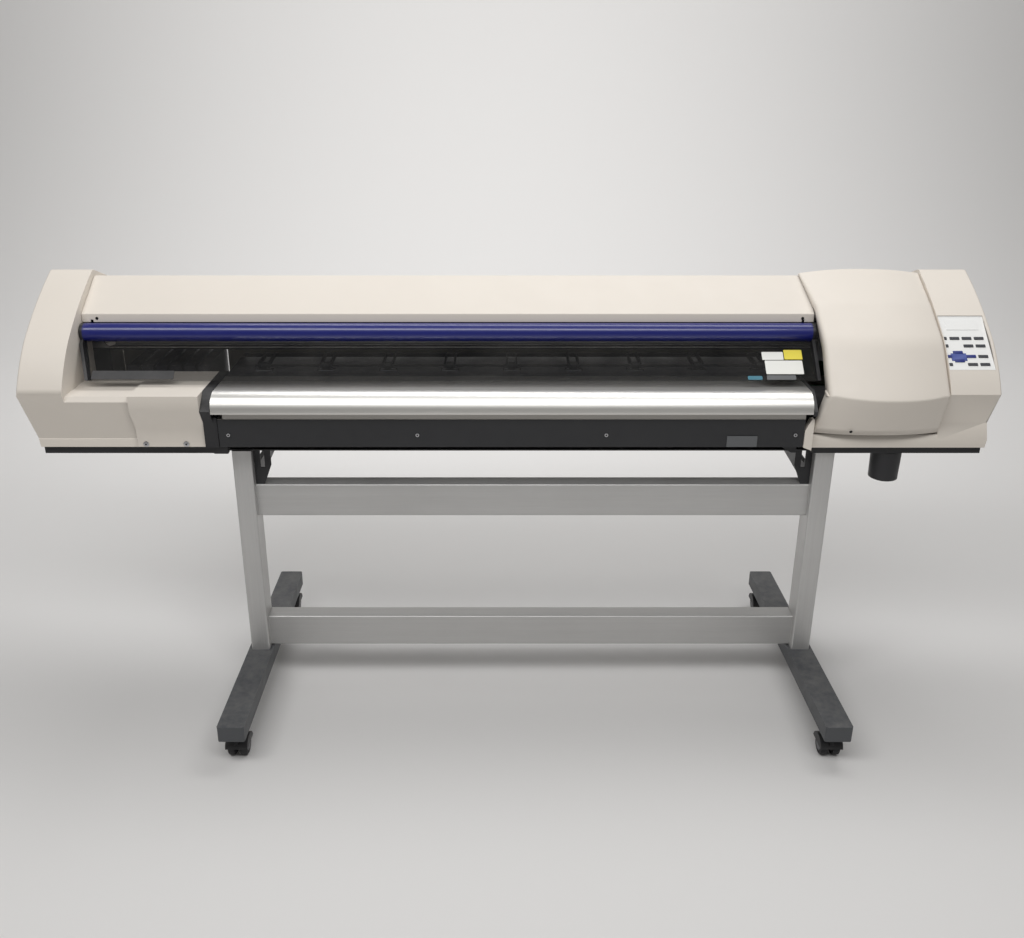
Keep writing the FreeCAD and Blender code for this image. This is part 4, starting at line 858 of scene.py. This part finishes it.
@dataclass
class Covers:
    """The moulded end covers, the service cover and the fixed top and back."""

    side_x: float = 1.1550
    slack: float = 0.0005
    left_foot_z: float = 0.80
    right_foot_z: float = 0.735
    side_radius: float = 0.005

    def build(self) -> list[bpy.types.Object]:
        """Round the edges of each cover and return the pieces."""
        return [
            SoftShell("left_end_cover", 0.0014, CREAM, self.on_left_edge, self.side_radius).build(),
            SoftShell("right_end_cover", 0.0014, CREAM, self.on_right_edge, self.side_radius).build(),
            SoftShell("left_service_cover", 0.0012, CREAM).build(),
            SoftShell("top_cover", 0.0014, CREAM).build(),
            SoftShell("rear_cover", 0.0012, CREAM).build(),
        ]

    def on_left_edge(self, spot: Vector) -> bool:
        """Whether a point lies on the outer side of the left cover, above its foot."""
        return spot.x < -self.side_x + self.slack and spot.z > self.left_foot_z

    def on_right_edge(self, spot: Vector) -> bool:
        """Whether a point lies on the outer side of the right cover, above its foot."""
        return spot.x > self.side_x - self.slack and spot.z > self.right_foot_z


@dataclass
class SwingingCover:
    """What is fixed to the smoked cover: its name-plate blank and its plain labels."""

    foot: Spot = (0.0, -0.042, 0.871)
    head: Spot = (0.0, 0.044, 0.9495)
    labels: tuple[tuple[str, float, float, float, float, Finish], ...] = (
        ("plain_plate", -1.004, -0.806, 0.003, 0.0265, PLATE_GREY),
        ("white_label", 0.617, 0.669, 0.0573, 0.0799, CARD_WHITE),
        ("yellow_label", 0.671, 0.715, 0.0587, 0.0856, CARD_YELLOW),
        ("wide_white_label", 0.622, 0.713, 0.0175, 0.0555, CARD_WHITE),
        ("grey_label", 0.622, 0.692, 0.002, 0.0145, CARD_GREY),
        ("teal_label", 0.576, 0.611, 0.002, 0.0125, CARD_TEAL),
    )

    def build(self) -> list[bpy.types.Object]:
        """Lay the plate and the labels on the sheet and return them."""
        up = (Vector(self.head) - Vector(self.foot)).normalized()
        pieces = []
        for name, left, right, low, high, finish in self.labels:
            middle = Vector(self.foot) + up * (low + high) / 2
            middle.x = (left + right) / 2
            pieces.append(Card(name, tuple(middle), (1, 0, 0), tuple(up), (right - left, high - low), finish,
                               "front_cover", thick=0.0014 if name == "plain_plate" else 0.0004).build())
        return pieces


@dataclass
class ControlPanel:
    """The membrane panel: softened keys and the two-tone cursor key."""

    low: Spot = (1.038, -0.080, 0.908)
    high: Spot = (1.038, 0.027, 1.008)
    facing: float = 0.9
    middle_height: float = 0.0012

    def build(self) -> list[bpy.types.Object]:
        """Build the keys and return them."""
        return [SoftShell(name, 0.0008, KEY_GREY).build() for name in KEY_NAMES] + [self.cursor_key()]

    def cursor_key(self) -> bpy.types.Object:
        """Colour the cursor key: dark arms round a pale middle."""
        source = frame["nodes"]["cursor_cross_key"]
        up = (Vector(self.high) - Vector(self.low)).normalized()
        mesh = clean_mesh("cursor_cross_key")
        rounded(mesh, sharp_edges(mesh), 0.0005, 2)
        out = Vector((0.0, -up.z, up.y))
        for face in mesh.faces:
            offset = face.calc_center_median() - Vector(self.low)
            face.material_index = int(face.normal.dot(out) > self.facing
                                      and offset.dot(out) < self.middle_height)
        key = new_piece("cursor_cross_key_soft", mesh, [KEY_BLUE, KEY_PALE], source["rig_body"], CREASE_DEG)
        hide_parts("cursor_cross_key")
        return key


@dataclass
class Stand:
    """The stand's black brackets."""

    def build(self) -> list[bpy.types.Object]:
        """Round the brackets and return them."""
        return [SoftShell("stand_brackets", 0.001, DARK_TRIM).build()]


@dataclass
class Casters:
    """Four twin-wheel casters with rounded tyres and hub discs."""

    hub: Ring = (
        (0.0145, -0.0005), (0.0145, 0.0004), (0.0130, 0.0010), (0.0070, 0.0012), (0.0060, 0.0020),
        (0.0020, 0.0022))

    def build(self) -> list[bpy.types.Object]:
        """Round each wheel pair and fork and return the pieces."""
        pieces = []
        for name in CASTER_NAMES:
            pieces.append(SoftShell(name + "_wheels", 0.003, RUBBER).build())
            pieces.append(SoftShell(name + "_fork", 0.0008, DARK_TRIM).build())
            low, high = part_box(name + "_wheels")
            middle = (low + high) / 2
            body = frame["nodes"][name + "_wheels"]["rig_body"]
            for tag, way, x in (("inner", -1, low.x), ("outer", 1, high.x)):
                pieces.append(Turned(f"{name}_{tag}_hub", (x, middle.y, middle.z), (way, 0, 0), self.hub,
                                     GREY_CASE, body).build())
        return pieces


@dataclass
class WorkFront:
    """The working edge: the rail with its bright strip, its end plates, the screws and the plain label."""

    strip_z: float = 0.7915
    rail_face: float = -0.0972
    label_x: float = 0.5595
    label_z: float = 0.7355
    label_size: tuple[float, float] = (0.073, 0.028)
    washer_sink: float = 0.0008
    washer: Ring = (
        (0.0070, -0.0004), (0.0070, 0.0006), (0.0060, 0.0009), (0.0045, 0.0009), (0.0042, 0.0004))
    # Profile of the near-black disc of painted shade that stands for the dark inside of each screw socket.
    socket: Ring = ((0.0022, 0.0), (0.0022, 0.0004), (0.0016, 0.0005), (0.0008, 0.0003))

    def build(self) -> list[bpy.types.Object]:
        """Round the rail and its ends, add painted shade discs in the screw sockets, add the label, and
        return the pieces.
        """
        return [self.rail(), SoftShell("apron_ends", 0.002, DARK_TRIM).build(),
                SoftShell("cover_end_caps", 0.001, DARK_TRIM).build(),
                Card("rail_label", (self.label_x, self.rail_face, self.label_z), (1, 0, 0), (0, 0, 1),
                     self.label_size, CARD_GREY, "frame", lift=0.0).build()] + self.screw_details()

    def rail(self) -> bpy.types.Object:
        """Round the rail and give the strip along its top the bare metal finish."""
        rail = SoftShell("front_rail", 0.0010, CHARCOAL).build()
        rail.data.materials.append(STRIP_METAL.material())
        for face in rail.data.polygons:
            face.material_index = int(face.center.z > self.strip_z)
        return rail

    def screw_details(self) -> list[bpy.types.Object]:
        """Put a near-black disc of painted shade in each screw head's socket, and a washer under those of the
        service cover.
        """
        pieces = []
        cover_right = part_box("left_service_cover")[1].x
        for number, (low, high) in enumerate(loose_boxes("screws")):
            middle = (low + high) / 2
            pieces.append(Turned(f"screw_socket_shade_{number}", (middle.x, low.y, middle.z), (0, -1, 0),
                                 self.socket, HOLE_SHADE, "frame", 20).build())
            if middle.x < cover_right:
                spot = (middle.x, high.y - self.washer_sink, middle.z)
                pieces.append(Turned(f"screw_washer_{number}", spot, (0, -1, 0), self.washer, STEEL,
                                     "frame").build())
        return pieces


@dataclass
class HoleShades:
    """Near-black discs of painted shade where the covers have screw recesses and holes."""

    # Profile of the near-black disc of painted shade that stands for the dark inside of each recess or hole.
    recess: Ring = (
        (0.0036, 0.0), (0.0036, 0.0007), (0.0030, 0.0010), (0.0016, 0.0010), (0.0012, 0.0002))
    spots: tuple[tuple[str, Spot, Spot, str], ...] = (
        ("hood_screw_shade", (0.814, -0.1062, 0.764), (0, -1, -0.35), "carriage_hood"),
        ("brow_hole_shade_left", (-1.010, 0.0608, 0.998), (0, -1, 0), "frame"),
        ("brow_hole_shade_right", (0.723, 0.0608, 0.998), (0, -1, 0), "frame"),
    )

    def build(self) -> list[bpy.types.Object]:
        """Build each disc of painted shade and return them."""
        return [Turned(name, spot, way, self.recess, HOLE_SHADE, body).build()
                for name, spot, way, body in self.spots]


def dress_nodes() -> None:
    """Give every sub-part that stays its finish."""
    for name, node in frame["nodes"].items():
        node.data.materials.clear()
        node.data.materials.append(NODE_FINISH[name].material())


def main() -> None:
    """Build the machine's looks piece by piece."""
    logging.basicConfig(level=logging.INFO, format="%(message)s")
    Camera().build()
    Studio().build()
    dress_nodes()
    for assembly in (Covers(), CarriageHood(), SwingingCover(), ControlPanel(), WorkFront(), HoleShades(),
                     Stand(), Casters()):
        made = assembly.build()
        for piece in made if isinstance(made, list) else [made]:
            log.info("%s: %s with %d faces", type(assembly).__name__, piece.name, len(piece.data.polygons))


if __name__ == "__main__":
    main()
